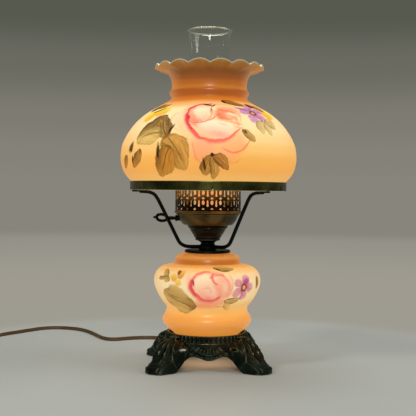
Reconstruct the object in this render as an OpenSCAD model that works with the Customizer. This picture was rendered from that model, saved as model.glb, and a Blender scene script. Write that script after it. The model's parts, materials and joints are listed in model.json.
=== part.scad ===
// Electric table lamp in the hurricane style: a cast footed base, a round glass font with a
// night light inside, a burner with a key switch, a clear chimney and a domed glass shade.
// Millimetres, +Z up, with the origin on the table straight below the lamp's axis.

/* [Base] */
// Distance from the axis to the tip of a foot
foot_reach = 104; // [100:1:110]
// Height of the seat that the font stands on
seat_z = 38; // [38:1:42]
// Radius of the wall that holds the font on its seat
seat_wall_r = 50; // [49:0.5:52]

/* [Glass] */
// Inner radius of the ring that the shade stands in
fitter_r = 102.2; // [101.6:0.1:104]
// Wall of the shade and of the font
glass_wall = 3; // [2.4:0.1:3.2]
// Outer radius of the chimney's foot
chimney_foot_r = 38; // [37:0.1:38.1]
// Wall of the chimney
chimney_wall = 1.6; // [1.2:0.1:2.2]
// Scallops round the crown of the shade
scallops = 16; // [8:1:20]

/* [Metalwork] */
// Outer radius of the threaded pipe that ties the lamp together
pipe_r = 4.8; // [4.4:0.1:4.8]
// Radius of the rod that the shade arms are bent from
arm_rod_r = 2; // [1.6:0.1:2.2]
// Bend radius of the arms
arm_bend_r = 12; // [9:1:14]
// Windows in each row of the perforated gallery
gallery_windows = 24; // [12:2:28]

/* [Switch key] */
// Radius of the key's shaft
key_shaft_r = 1.93; // [1.8:0.01:1.95]
// Length of the key's loop
key_loop_l = 18.8; // [16:0.2:22]

/* [Cord] */
// Width of the flat twin cord
cord_d = 5.4; // [4.6:0.1:5.4]

/* [Hidden] */
$fn = 96;

// The stack of pieces on the pipe, from the seat upwards
gasket_t = 1.2;
font_z = seat_z + gasket_t;
font_h = 108;
cap_z = font_z + font_h + 0.2;
cap_t = 4.1;
hub_z = cap_z + cap_t;
hub_h = 6;
hub_r = 11.8;
neck_z = hub_z + hub_h;
neck_h = 6.2;
cup_z = neck_z + neck_h;
cup_h = 20.6;
bowl_z = cup_z + cup_h;
bowl_h = 17.3;
gallery_z = bowl_z + bowl_h;
gallery_h = 37.1;
gallery_r = 43.4;
sheet_t = 1;
rest_gap = 0.3;
chimney_z = gallery_z + sheet_t + rest_gap;
ring_z = hub_z + 78.2;
ring_h = 11.7;
ledge_t = 1.2;
shade_z = ring_z + ledge_t + rest_gap;
pipe_bore = 3.3;
pipe_hole_r = pipe_r + 0.2;
pipe_bottom = seat_z - 12;
pipe_top = cup_z + 15.2;

// The main socket and its bulb
socket_z = cup_z + 12.3;
socket_r = 16.9;
sleeve_z = gallery_z + 3.4;
sleeve_top = sleeve_z + 27;
bulb_z = sleeve_z + 3.5;
bulb_r = 23.8;

// The switch key turns on an axis along -X
key_z = bowl_z + 8.7;
key_bore_r = 2;
bushing_r = 3.6;
loop_t = 2.6;
loop_h = 11.2;
loop_x = 53.3;

// The night light stands beside the pipe
night_x = 20;
night_z = font_z + 32.8;

// Feet and shade arms
feet = [45, 135, 225, 315];
sides = [0, 90, 180, 270];
cord_hole_z = 24;
arm_tip_r = 103;
arm_rest = 0.05;

// The cord's route: from the pipe to the back of the base, and from there to its coil
cord_exit_y = 84;
inner_route = [[0, 0, 25.9], [0, 1.5, 20], [0, 6, 15.6], [0, 13, 14], [0, 22, 14.2], [0, 31, 16.2],
  [0, 40, 19.6], [0, 48, 22.8], [0, 56, 24], [0, 70, 24], [0, 84, 24]];
cord_route = [[0, 84, 24], [0, 94, 24], [-1, 105, 22.3], [-3, 116, 17.4], [-6, 127, 10.8],
  [-11, 138, 5.4], [-18, 150, 3], [-28, 163, 2.7], [-40, 176, 2.7], [-56, 186, 2.7],
  [-75, 190, 2.7], [-94, 187, 2.7], [-110, 180, 2.7], [-126, 173, 2.7], [-142, 174, 2.7],
  [-155, 185, 2.7], [-164, 204, 2.7], [-172, 226, 2.7], [-182, 249, 2.7], [-196, 268, 2.7],
  [-214, 279, 2.7], [-234, 281, 2.7], [-251, 271, 2.7], [-265, 253, 2.7], [-279, 236, 2.7],
  [-294, 221, 2.7], [-309, 206, 2.7], [-324, 191.5, 2.7], [-339, 177, 2.7]];
coil_x = -368;
coil_y = 206;
coil_in = 19.5;
coil_out = 44.2;
coil_low = 0.7;
coil_top = 7;
tie_w = 6;
plug_x = -413;
plug_y = 270;
plug_z = 6;
tail_route = [[-409, 206, 5.6], [-409.5, 216, 5.6], [-411, 228, 4.4], [-412.5, 242, 3.6],
  [-413, 256, 4.8], [plug_x, plug_y, plug_z]];

// A point on a smooth curve that passes through its control points
function between(a, b, c, d, t) =
  0.5 * (2 * b + (c - a) * t + (2 * a - 5 * b + 4 * c - d) * t * t
    + (3 * b - a - 3 * c + d) * t * t * t);

function smooth(p, n = 3) = concat(
  [for (i = [0:len(p) - 2], k = [0:n - 1])
    between(p[max(i - 1, 0)], p[i], p[i + 1], p[min(i + 2, len(p) - 1)], k / n)],
  [p[len(p) - 1]]);

function reversed(p) = [for (i = [len(p) - 1:-1:0]) p[i]];

function raised(p, z) = [for (q = p) [q[0], q[1] + z]];

function unit(v) = v / norm(v);

function turned(v, a) = [v[0] * cos(a) - v[1] * sin(a), v[0] * sin(a) + v[1] * cos(a)];

// The same line moved sideways, towards the axis when it runs upwards
function inset(p, t) = [for (i = [0:len(p) - 1])
  p[i] + t * turned(unit(p[min(i + 1, len(p) - 1)] - p[max(i - 1, 0)]), 90)];

module lathe() {
  rotate_extrude(convexity = 6) children();
}

// A turned wall of even thickness, from its outer line
module shell(line, wall) {
  lathe() polygon(concat(line, reversed(inset(line, wall))));
}

module tube(r_in, r_out, h) {
  difference() {
    cylinder(r = r_out, h = h);
    translate([0, 0, -1]) cylinder(r = r_in, h = h + 2);
  }
}

module hex_nut(flats, hole_r, h) {
  difference() {
    cylinder(d = flats / cos(30), h = h, $fn = 6);
    translate([0, 0, -1]) cylinder(r = hole_r, h = h + 2);
  }
}

// A cylinder along -X on the key's axis, between two distances from the lamp's axis
module key_rod(from_x, to_x, r) {
  translate([-to_x, 0, key_z]) rotate([0, 90, 0]) cylinder(r = r, h = to_x - from_x);
}

// The arc that rounds corner b between a and c
function fillet(a, b, c, bend, n) =
  let (u = unit(b - a), v = unit(c - b), turn = atan2(cross(u, v), u * v),
    start = b - bend * tan(abs(turn) / 2) * u,
    centre = start + sign(turn) * bend * turned(u, 90))
  [for (i = [0:n]) centre + turned(start - centre, turn * i / n)];

function bent(p, bend, n = 7) = concat([p[0]],
  [for (i = [1:len(p) - 2]) each fillet(p[i - 1], p[i], p[i + 1], bend, n)], [p[len(p) - 1]]);

// A round tube along a route; flat is a direction that the route never takes
module sweep(route, r, flat, n = 8) {
  last = len(route) - 1;
  rings = [for (i = [0:last])
    let (along = unit(route[min(i + 1, last)] - route[max(i - 1, 0)]),
      side = unit(cross(along, flat)), up = cross(side, along))
    for (k = [0:n - 1]) route[i] + r * (cos(360 * k / n) * side + sin(360 * k / n) * up)];
  walls = [for (i = [0:last - 1], k = [0:n - 1])
    let (a = i * n + k, b = i * n + (k + 1) % n)
    each [[a, b, a + n], [b, b + n, a + n]]];
  first_end = [[for (k = [n - 1:-1:0]) k]];
  last_end = [[for (k = [0:n - 1]) last * n + k]];
  polyhedron(points = rings, faces = concat(walls, first_end, last_end), convexity = 10);
}

// A rod bent to a list of corners in the XZ plane
module rod(corners, r, bend) {
  sweep([for (q = bent(corners, bend)) [q[0], 0, q[1]]], r, [0, 1, 0], 12);
}

// ---- Base ----

// Side view of a leg, from the rim of the seat to its scroll foot
module leg_side() {
  ridge = [[46, 35], [50, 41.5], [58, 43], [66, 40.5], [72, 37], [77, 32], [81, 26.5], [85, 20],
    [89, 14], [94, 10], [99, 7.5], [foot_reach, 3.5]];
  polygon(concat(smooth(ridge), [[foot_reach, 0], [78, 0], [77, 9], [73, 18], [66, 26], [46, 31]]));
}

// A leg seen from above, narrowing to its toe
module leg_plan() {
  edge = [[46, 21], [60, 20], [74, 17], [92, 14], [101, 12], [foot_reach, 6]];
  polygon(concat(edge, reversed([for (q = edge) [q[0], -q[1]]])));
}

module leg() {
  intersection() {
    rotate([90, 0, 0]) linear_extrude(50, center = true) leg_side();
    linear_extrude(50) leg_plan();
  }
}

// The opening between two legs, with a hanging drop at its middle
module arch() {
  edge = smooth([[43, -1], [37, 5], [29, 14.5], [21, 20], [13, 18.2], [7, 16.2], [0, 15.7]]);
  rotate([90, 0, 0]) linear_extrude(foot_reach)
    polygon(concat(edge, reversed([for (q = edge) [-q[0], q[1]]])));
}

module cast_base() color([0.13, 0.14, 0.10]) {
  // Seat plate, the ring round the foot of the glass, and the skirt below it, in one line
  body = [[0, seat_z - 4], [seat_wall_r - 4, seat_z - 4], [seat_wall_r - 4, 31], [seat_wall_r, 31],
    [56.4, 27.4], [59.8, 22.4], [61, 15], [65, 15], [63.6, 25.6], [60, 31], [54, 35.5],
    [54, seat_z - 1.5], [52, seat_z + 4.4], [seat_wall_r, seat_z + 5],
    [seat_wall_r - 4, seat_z + 5], [seat_wall_r - 4, seat_z], [0, seat_z]];
  difference() {
    union() {
      lathe() polygon(body);
      difference() {
        for (a = feet) rotate([0, 0, a]) leg();
        cylinder(r = seat_wall_r + 1, h = 60);
      }
    }
    for (a = sides) rotate([0, 0, a]) arch();
    // Pierced drops beside each leg
    for (a = feet, s = [-1, 1]) rotate([0, 0, a + s * 17])
      translate([48, 0, 29.5]) rotate([0, 90, 0]) cylinder(r = 3, h = 25, $fn = 32);
    translate([0, 0, 20]) cylinder(r = pipe_hole_r + 0.2, h = 30);
    translate([0, 44, cord_hole_z]) rotate([-90, 0, 0]) cylinder(r = 5, h = 30);
  }
}

module base_washer() color([0.62, 0.60, 0.54])
  translate([0, 0, seat_z - 5.5]) tube(pipe_hole_r, 11, 1.5);

module base_nut() color([0.62, 0.60, 0.54])
  translate([0, 0, seat_z - 10.5]) hex_nut(14, pipe_r, 5);

module center_pipe() color([0.70, 0.66, 0.50])
  translate([0, 0, pipe_bottom]) tube(pipe_bore, pipe_r, pipe_top - pipe_bottom);

// Two insulated wires that climb the pipe
module riser_leads() color([0.30, 0.19, 0.12])
  for (s = [-1, 1])
    translate([1.5 * s, 0, pipe_bottom + 4]) cylinder(r = 1.1, h = pipe_top - pipe_bottom - 6);

// ---- Glass font ----

module font_seat_gasket() color([0.20, 0.18, 0.16])
  translate([0, 0, seat_z]) tube(36, 43, gasket_t);

font_line = smooth([[40.5, 0], [45.8, 4.8], [54.4, 11.3], [59, 18.3], [58.4, 24.8],
  [54.2, 30.8], [53.6, 37.8], [59, 44.8], [65.2, 54.8], [69.3, 64.8], [70.4, 72.8], [68.9, 80.3],
  [64.6, 86.8], [57, 91.4], [48.4, 93.2], [43.8, 94.8], [43.4, 97.6], [42.6, 100.6], [40.8, 103.6],
  [37.4, 106], [32.6, 107.4], [27, font_h]]);

module font_glass() color([0.98, 0.78, 0.48])
  shell(raised(font_line, font_z), glass_wall);

module font_cap() color([0.10, 0.10, 0.08])
  translate([0, 0, cap_z]) lathe()
    polygon([[pipe_hole_r, 0], [25, 0], [25, -4], [26, -4], [26, 0], [29.5, 0], [29.5, 2],
      [28.6, 3.4], [26, cap_t], [pipe_hole_r, cap_t]]);

// ---- Shade arms and ring ----

arm_azimuths = [195, 315, 75];
arm_path = [[7, 3.2], [33.5, 3.2], [75.4, 75.5], [arm_tip_r - 5, 75.5]];

module arm_hub() color([0.11, 0.11, 0.09])
  translate([0, 0, hub_z]) difference() {
    lathe() polygon([[pipe_hole_r, 0], [10.8, 0], [hub_r, 1], [hub_r, 5.2], [10.6, hub_h],
      [pipe_hole_r, hub_h]]);
    for (a = arm_azimuths) rotate([0, 0, a])
      translate([6.9, 0, arm_path[0][1]]) rotate([0, 90, 0])
        cylinder(r = arm_rod_r + arm_rest, h = 10, $fn = 32);
  }

// A bent rod with a flat pad under the ring
module shade_arm(azimuth) color([0.11, 0.11, 0.09])
  rotate([0, 0, azimuth]) translate([0, 0, hub_z]) {
    rod(arm_path, arm_rod_r, arm_bend_r);
    translate([arm_tip_r - 14, -3, 76]) cube([14, 6, 2.2]);
  }

module shade_arm_left() shade_arm(arm_azimuths[0]);
module shade_arm_right() shade_arm(arm_azimuths[1]);
module shade_arm_rear() shade_arm(arm_azimuths[2]);

module shade_ring() color([0.20, 0.22, 0.13])
  translate([0, 0, ring_z]) lathe()
    polygon([[96, 0], [fitter_r + 1, 0], [fitter_r + 1, ring_h - 1], [fitter_r + 0.4, ring_h],
      [fitter_r, ring_h - 0.4], [fitter_r, ledge_t], [96, ledge_t]]);

// ---- Burner ----

module burner_neck() color([0.11, 0.11, 0.09])
  translate([0, 0, neck_z]) lathe()
    polygon([[pipe_hole_r, 0], [10, 0], [8.2, 2], [8.2, 3.5], [12, 5.5], [12, neck_h],
      [pipe_hole_r, neck_h]]);

module burner_lower_cup() color([0.27, 0.21, 0.12]) {
  wall = [[16, 0], [16.2, 4], [17.6, 4.8], [17.8, 6], [20, 8.6], [22.6, 12.8], [24.2, 16.2],
    [25.6, 17], [25.4, 18.4], [27, 19.2], [27, cup_h]];
  translate([0, 0, cup_z]) {
    shell(wall, sheet_t);
    tube(pipe_hole_r, 15.6, sheet_t);
  }
}

module burner_locknut() color([0.62, 0.60, 0.54])
  translate([0, 0, cup_z + sheet_t]) hex_nut(14, pipe_r, 3.5);

module burner_bowl() color([0.30, 0.24, 0.13]) {
  wall = smooth([[32.6, 0.6], [35.5, 3.7], [37.9, 7.2], [39.8, 11.7], [41.5, 14.7]]);
  difference() {
    translate([0, 0, bowl_z]) {
      shell(wall, sheet_t);
      tube(20, 32.4, sheet_t);
      lathe() polygon([[40.6, 14.4], [41.5, 14.4], [44, 16.2], [43.6, bowl_h], [42, bowl_h]]);
    }
    key_rod(30, 45, bushing_r + 0.02);
  }
}

module gallery() color([0.42, 0.34, 0.18])
  translate([0, 0, gallery_z]) difference() {
    union() {
      tube(gallery_r - 0.8, gallery_r, gallery_h);
      tube(18, gallery_r, sheet_t);
    }
    for (row = [10.4, 24.1], k = [0:gallery_windows / 2 - 1])
      rotate([0, 0, k * 360 / gallery_windows])
        translate([0, 0, row]) cube([120, 3.2, 8], center = true);
  }

// Four leaves that lean in to hold the foot of the chimney
module chimney_springs() color([0.66, 0.54, 0.28])
  translate([0, 0, gallery_z + sheet_t])
    for (a = feet) rotate([0, 0, a - 8]) rotate_extrude(angle = 16)
      polygon([[38.6, 0], [42.2, 0], [42.2, 3.5], [39.1, 9.4], [40.3, 14.4], [39.9, 14.6],
        [38.5, 9.4], [41.5, 3.3], [41.5, 0.6], [38.6, 0.6]]);

module chimney() color([0.88, 0.92, 0.92, 0.35]) {
  line = smooth([[0, 0], [0, 11.1], [0.5, 23.1], [3, 39.1], [5.3, 57.1], [4, 77.1], [-1, 102.1],
    [-6.5, 127.1], [-9.7, 149.1], [-10.8, 172.1], [-10.8, 202.1], [-9.9, 225.1], [-8.6, 238.6]]);
  shell([for (q = line) [chimney_foot_r + q[0], chimney_z + q[1]]], chimney_wall);
}

// ---- Shade ----

shade_h = 163.8;
scallop_depth = 5;
scallop_half = 13.7;
dome_line = smooth([[101.5, 0], [101.5, 9.4], [103.6, 12], [107.6, 16.4], [111.8, 22.6],
  [114.4, 30.4], [115.8, 39], [115.5, 47.6], [114.2, 56.1], [111.3, 63.8], [107, 71.9],
  [100.8, 81], [94, 88.8], [85.9, 96], [76.8, 102.4], [65.2, 108.8], [55, 114.8], [50, 119.2],
  [50.6, 123.2], [52.1, 127.4], [51.6, 131.8], [49.4, 136.6], [49.8, 144], [53.4, 151.2],
  [60.4, 157.4], [70.6, shade_h - 2.4]]);

// The cut between two round-topped scallops, as a cusp with its point down
module scallop_notch() {
  edge = [for (u = [0, 3.5, 7, 10.5])
    [u, scallop_depth * (1 - pow(1 - u / scallop_half, 2))]];
  above = scallop_depth + 4;
  polygon(concat(edge, [[10.5, above], [-10.5, above]], reversed([for (q = edge) [-q[0], q[1]]])));
}

module shade_glass() color([0.99, 0.84, 0.58])
  difference() {
    shell(raised(dome_line, shade_z), glass_wall);
    for (k = [0:scallops - 1]) rotate([0, 0, k * 360 / scallops - 2.4])
      translate([50, 0, shade_z + shade_h - scallop_depth]) rotate([90, 0, 90])
        linear_extrude(30) scallop_notch();
  }

// ---- Main socket and bulb ----

module socket_cap() color([0.66, 0.54, 0.30])
  translate([0, 0, socket_z]) lathe()
    polygon([[pipe_r, 0], [8, 0], [12, 3], [16, 7], [17, 9], [17, 11], [15.5, 11], [14.5, 8],
      [10, 3.8], [pipe_r, 3]]);

module socket_body() color([0.10, 0.09, 0.08])
  difference() {
    union() {
      translate([0, 0, socket_z + 11]) tube(14.9, socket_r, sleeve_z - socket_z - 11);
      translate([0, 0, sleeve_z - 2]) cylinder(r = 15.5, h = 2);
    }
    key_rod(10, 20, key_bore_r);
  }

module socket_sleeve() color([0.95, 0.90, 0.78])
  translate([0, 0, sleeve_z]) tube(14.6, socket_r, sleeve_top - sleeve_z);

module socket_screw_shell() color([0.72, 0.58, 0.30])
  translate([0, 0, sleeve_z]) tube(13.4, 14.2, 26);

module socket_contact() color([0.72, 0.58, 0.30])
  translate([0, 0, sleeve_z]) cylinder(r = 4, h = 1.7);

// A thin ridged shell, closed below by its tip contact
module main_bulb_cap() color([0.74, 0.73, 0.70])
  translate([0, 0, bulb_z]) lathe()
    polygon(concat([[0, -1.7], [4.5, -1.7], [4.8, 0], [9, 0.6], [12, 3]],
      [for (i = [0:4]) each [[12.3, 3.4 + 3 * i], [13.1, 4.9 + 3 * i]]],
      [[13.1, 20.5], [12, 20.5], [11.4, 3.8], [8.6, 1.8], [0, 1.2]]));

module main_bulb_glass() color([0.99, 0.93, 0.76, 0.8]) {
  line = smooth([[12.8, 0], [13.2, 6], [16.2, 17], [21, 29], [bulb_r, 41.5], [22.6, 53],
    [17.6, 61.6], [9.6, 66.4], [1.2, 67.5]]);
  shell(raised(line, bulb_z + 20.5), 0.8);
}

module main_bulb_stem() color([0.85, 0.9, 0.9, 0.4])
  translate([0, 0, bulb_z + 20.5]) lathe()
    polygon([[0, 0], [11.9, 0], [11.9, 0.8], [6, 3.5], [4, 10], [2.4, 22], [0, 22]]);

module main_bulb_filament() color([1, 0.75, 0.35]) {
  z = bulb_z + 50;
  for (s = [-1, 1]) translate([s * 1.4, 0, bulb_z + 42.5])
    rotate([0, s * 35, 0]) cylinder(r = 0.4, h = 10, $fn = 16);
  translate([0, 0, z]) rotate_extrude() translate([7, 0]) circle(r = 0.6, $fn = 16);
}

// ---- Switch key ----

module key_bushing() color([0.13, 0.12, 0.09])
  difference() {
    union() {
      key_rod(35, 43.5, bushing_r);
      key_rod(41.2, 42.6, bushing_r + 0.9);
    }
    key_rod(30, 50, key_bore_r);
  }

module key_shaft() color([0.11, 0.10, 0.08]) {
  key_rod(12, 44, key_shaft_r);
  key_rod(44, 51.4, 2.35);
}

function oval(l, h) = [for (a = [0:10:350]) [l / 2 * cos(a), h / 2 * sin(a)]];

// An open oval finger loop with a bead at each end
module key_loop() color([0.11, 0.10, 0.08]) {
  key_rod(51.4, 53, 3.4);
  key_rod(53, 54.2, 1.8);
  translate([-loop_x - key_loop_l / 2, loop_t / 2, key_z]) rotate([90, 0, 0])
    linear_extrude(loop_t) difference() {
      polygon(oval(key_loop_l, loop_h));
      polygon(oval(key_loop_l - 9.4, loop_h - 5.4));
    }
  translate([-loop_x - key_loop_l, 0, key_z]) sphere(r = 1.7, $fn = 24);
}

module switch_rotor() color([0.55, 0.45, 0.30])
  key_rod(8, 12, 5);

// ---- Night light inside the font ----

module night_bracket() color([0.66, 0.62, 0.50])
  translate([0, 0, night_z - 1.2]) difference() {
    union() {
      cylinder(r = 7.4, h = 1.2);
      translate([0, -4, 0]) cube([night_x + 4, 8, 1.2]);
    }
    translate([0, 0, -1]) cylinder(r = pipe_r, h = 4);
  }

module night_socket() color([0.92, 0.90, 0.84])
  translate([night_x, 0, night_z]) difference() {
    cylinder(r = 9, h = 20);
    translate([0, 0, 2]) cylinder(r = 6.6, h = 20);
  }

module night_bulb_cap() color([0.74, 0.73, 0.70])
  translate([night_x, 0, night_z + 3]) cylinder(r = 6, h = 17);

module night_bulb_glass() color([0.99, 0.93, 0.76, 0.8])
  translate([night_x, 0, 0])
    shell(raised(smooth([[5.8, 0], [7.4, 5], [10.2, 12], [11, 19], [9.6, 27], [6.2, 34],
      [2.6, 39], [0.8, 40]]), night_z + 20), 0.6);

module night_bulb_filament() color([1, 0.75, 0.35])
  translate([night_x, 0, night_z + 34]) rotate_extrude() translate([2.6, 0]) circle(r = 0.4, $fn = 16);

// Two wires from a hole in the pipe to the foot of the socket
module night_leads() color([0.30, 0.19, 0.12])
  for (s = [-1, 1]) translate([0, s * 1.6, 0])
    rod([[pipe_r, night_z - 8], [night_x, night_z - 8], [night_x, night_z - 1.2]], 1.1, 4);

// ---- Cord ----

module inner_cord() color([0.36, 0.24, 0.15])
  sweep(inner_route, cord_d / 2, [1, 0, 0]);

// A tapered sleeve that clips into the hole at the back of the base
module cord_strain_relief() color([0.10, 0.09, 0.08])
  translate([0, 0, cord_hole_z]) rotate([-90, 0, 0]) lathe()
    polygon([[2.75, 56.5], [4.9, 56.5], [4.9, 64.8], [6.2, 64.8], [6.2, 66.4], [4.6, 67.4],
      [3.5, cord_exit_y], [2.75, cord_exit_y]]);

module cord() color([0.36, 0.24, 0.15])
  sweep(smooth(cord_route, 2), cord_d / 2, [0, 0, 1]);

module cord_coil() color([0.36, 0.24, 0.15])
  translate([coil_x, coil_y, 0]) lathe()
    polygon([[coil_in, coil_low + 1], [coil_in + 1, coil_low], [coil_out - 1, coil_low],
      [coil_out, coil_low + 1], [coil_out, coil_top - 1], [coil_out - 1, coil_top],
      [coil_in + 1, coil_top], [coil_in, coil_top - 1]]);

module cord_tail() color([0.36, 0.24, 0.15])
  sweep(smooth(tail_route, 2), cord_d / 2, [0, 0, 1]);

// A strap round all the turns on one side of the coil
module cord_tie() color([0.08, 0.08, 0.08])
  translate([coil_x - tie_w / 2, coil_y, 0]) difference() {
    translate([0, coil_in - 1.1, 0]) cube([tie_w, coil_out - coil_in + 1.9, coil_top + 0.7]);
    translate([-1, coil_in - 0.4, coil_low])
      cube([tie_w + 2, coil_out - coil_in + 0.5, coil_top - coil_low]);
  }

// A moulded two-blade plug that lies flat on the table
module plug_body() color([0.33, 0.22, 0.14])
  translate([plug_x, plug_y, plug_z]) rotate([-90, 0, 0]) {
    linear_extrude(15) polygon([for (a = [0:15:345]) [4.6 * cos(a), 3.8 * sin(a)]]);
    translate([0, 0, 13]) linear_extrude(15)
      intersection() {
        square([23, 12], center = true);
        circle(r = 12.4);
      }
    translate([0, 0, 28]) linear_extrude(3) square([19, 10.4], center = true);
  }

module plug_blades() color([0.80, 0.66, 0.36])
  for (s = [-1, 1]) translate([plug_x + s * 6.35 - 0.75, plug_y + 31, plug_z - 3.2])
    cube([1.5, 16.5, 6.4]);

cast_base();
base_washer();
base_nut();
center_pipe();
riser_leads();
font_seat_gasket();
font_glass();
font_cap();
arm_hub();
shade_arm_left();
shade_arm_right();
shade_arm_rear();
shade_ring();
burner_neck();
burner_lower_cup();
burner_locknut();
burner_bowl();
gallery();
chimney_springs();
chimney();
shade_glass();
socket_cap();
socket_body();
socket_sleeve();
socket_screw_shell();
socket_contact();
main_bulb_cap();
main_bulb_glass();
main_bulb_stem();
main_bulb_filament();
key_bushing();
key_shaft();
key_loop();
switch_rotor();
night_bracket();
night_socket();
night_bulb_cap();
night_bulb_glass();
night_bulb_filament();
night_leads();
inner_cord();
cord_strain_relief();
cord();
cord_coil();
cord_tail();
cord_tie();
plug_body();
plug_blades();
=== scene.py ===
"""Looks of an electric table lamp in oil lamp form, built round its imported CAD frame.

Lengths in this script are millimetres until a mesh is made, and MM turns them into metres.
"""

import json
import math

import bmesh
import bpy
from mathutils import Matrix, Vector, noise


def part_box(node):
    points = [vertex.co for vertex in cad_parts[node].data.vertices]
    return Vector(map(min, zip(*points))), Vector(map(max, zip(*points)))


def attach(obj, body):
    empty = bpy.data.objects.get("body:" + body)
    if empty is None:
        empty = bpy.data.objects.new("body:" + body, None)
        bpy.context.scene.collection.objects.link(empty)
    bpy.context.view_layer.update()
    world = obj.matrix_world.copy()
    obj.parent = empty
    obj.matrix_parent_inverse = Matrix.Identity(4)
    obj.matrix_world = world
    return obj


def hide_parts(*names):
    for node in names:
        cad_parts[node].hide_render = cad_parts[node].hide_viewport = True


MM = 0.001
TAU = 2 * math.pi
UP = Vector((0, 0, 1))

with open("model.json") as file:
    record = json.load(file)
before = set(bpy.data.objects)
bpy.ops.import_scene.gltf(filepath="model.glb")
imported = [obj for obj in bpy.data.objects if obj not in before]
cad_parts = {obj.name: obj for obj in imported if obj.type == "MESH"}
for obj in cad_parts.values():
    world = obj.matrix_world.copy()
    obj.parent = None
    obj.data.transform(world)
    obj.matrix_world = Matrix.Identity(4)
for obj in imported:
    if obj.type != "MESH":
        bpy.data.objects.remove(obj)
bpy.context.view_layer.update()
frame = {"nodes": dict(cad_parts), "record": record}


# ---------------------------------------------------------------- geometry helpers


def span(node):
    """Lowest and highest corner of a CAD node, in millimetres."""
    low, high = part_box(node)
    return low / MM, high / MM


def mix(a, b, t):
    return a + (b - a) * t


def ease(t):
    """0 to 1 with a soft start and end."""
    t = min(max(t, 0.0), 1.0)
    return t * t * (3 - 2 * t)


def curve(points, steps, closed=False):
    """A smooth line through its control points."""
    pts = [Vector(p) for p in points]
    n = len(pts)
    out = []
    for i in range(n if closed else n - 1):
        if closed:
            a, b, c, d = (pts[(i + k) % n] for k in (-1, 0, 1, 2))
        else:
            a, b, c, d = pts[max(i - 1, 0)], pts[i], pts[i + 1], pts[min(i + 2, n - 1)]
        for k in range(steps):
            t = k / steps
            out.append(
                0.5 * (2 * b + (c - a) * t + (2 * a - 5 * b + 4 * c - d) * t * t
                       + (3 * b - a - 3 * c + d) * t ** 3)
            )
    return out if closed else out + [pts[-1]]


def running_length(line):
    """How far along a line each of its points lies."""
    run = [0.0]
    for a, b in zip(line, line[1:]):
        run.append(run[-1] + (b - a).length)
    return run


def inset(line, wall, rim=1.0):
    """The line moved towards the axis where it runs upwards, by less near its end if rim is under 1."""
    out = []
    last = len(line) - 1
    for i, p in enumerate(line):
        along = (line[min(i + 1, last)] - line[max(i - 1, 0)]).normalized()
        thin = 1 - (1 - rim) * ease((i / last - 0.8) / 0.2)
        out.append(p + wall * thin * Vector((-along.y, along.x)))
    return out


def round_cap(near, far, along, lip):
    """A half circle of points that closes the end of a wall."""
    mid, half = (near + far) / 2, (near - far) / 2
    bulge = along.normalized() * half.length
    turns = [math.pi * k / lip for k in range(1, lip)]
    return [mid + half * math.cos(a) + bulge * math.sin(a) for a in turns]


def shell(line, wall, lip=4, rim=1.0):
    """A closed outline of a turned wall, with its two ends rounded."""
    inner = inset(line, wall, rim)
    end = round_cap(line[-1], inner[-1], line[-1] - line[-2], lip)
    start = round_cap(inner[0], line[0], line[0] - line[1], lip)
    return list(line) + end + inner[::-1] + start


def add_object(name, verts, faces, materials, sharp=35, picks=None, marks=None):
    """A mesh object from millimetre points; picks gives each face its material, marks each point a number."""
    mesh = bpy.data.meshes.new(name)
    mesh.from_pydata([Vector(v) * MM for v in verts], [], faces)
    if marks:
        mesh.attributes.new("rise", "FLOAT", "POINT").data.foreach_set("value", marks)
    made = bpy.data.objects.new(name, mesh)
    bpy.context.scene.collection.objects.link(made)
    for finish in materials:
        mesh.materials.append(finish)
    if picks:
        mesh.polygons.foreach_set("material_index", picks)
    weld = bmesh.new()
    weld.from_mesh(mesh)
    bmesh.ops.remove_doubles(weld, verts=weld.verts, dist=1e-6)
    bmesh.ops.recalc_face_normals(weld, faces=weld.faces)
    weld.to_mesh(mesh)
    weld.free()
    mesh.polygons.foreach_set("use_smooth", [True] * len(mesh.polygons))
    mesh.set_sharp_from_angle(angle=math.radians(sharp))
    return made


def grid_faces(rings, n, wrap=True):
    """Faces between rings of n points each; wrap joins the last ring to the first."""
    faces = []
    for i in range(rings if wrap else rings - 1):
        j = (i + 1) % rings
        for k in range(n):
            m = (k + 1) % n
            faces.append((i * n + k, i * n + m, j * n + m, j * n + k))
    return faces


def lathe_data(outline, segments, shape=None):
    """Points and faces of a closed outline turned round the axis; shape may move each point."""
    verts = []
    for s in range(segments):
        angle = TAU * s / segments
        for k, (r, z) in enumerate(outline):
            if shape:
                r, z = shape(angle, k, r, z)
            verts.append((r * math.cos(angle), r * math.sin(angle), z))
    return verts, grid_faces(segments, len(outline))


def lathe(name, outline, finish, segments, shape=None, sharp=35):
    verts, faces = lathe_data([tuple(p) for p in outline], segments, shape)
    return add_object(name, verts, faces, [finish], sharp)


def frames(path, up, closed):
    """Side and up directions along a path, carried from point to point without twist."""
    out, up, last = [], Vector(up), len(path) - 1
    for i in range(len(path)):
        before, after = (i - 1, (i + 1) % len(path)) if closed else (max(i - 1, 0), min(i + 1, last))
        along = (path[after] - path[before]).normalized()
        side = along.cross(up).normalized()
        up = side.cross(along).normalized()
        out.append((side, up))
    return out


def sweep_data(path, section, up=(0, 0, 1), grow=None, closed=False):
    """A section of (side, up) pairs carried along a path; grow(i) gives its scales and roll."""
    verts, n, count = [], len(section), len(path)
    for i, (p, (side, upward)) in enumerate(zip(path, frames(path, up, closed))):
        wide, high, roll = grow(i) if grow else (1, 1, 0)
        c, s = math.cos(roll), math.sin(roll)
        for a, b in section:
            a, b = a * wide, b * high
            verts.append(p + side * (a * c - b * s) + upward * (a * s + b * c))
    faces = grid_faces(count, n, closed)
    if not closed:
        faces += [tuple(reversed(range(n))), tuple((count - 1) * n + k for k in range(n))]
    return verts, faces


def ellipse(wide, high, count=12):
    """Points of an oval at even turns."""
    turns = [TAU * k / count for k in range(count)]
    return [(wide * math.cos(a), high * math.sin(a)) for a in turns]


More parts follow.
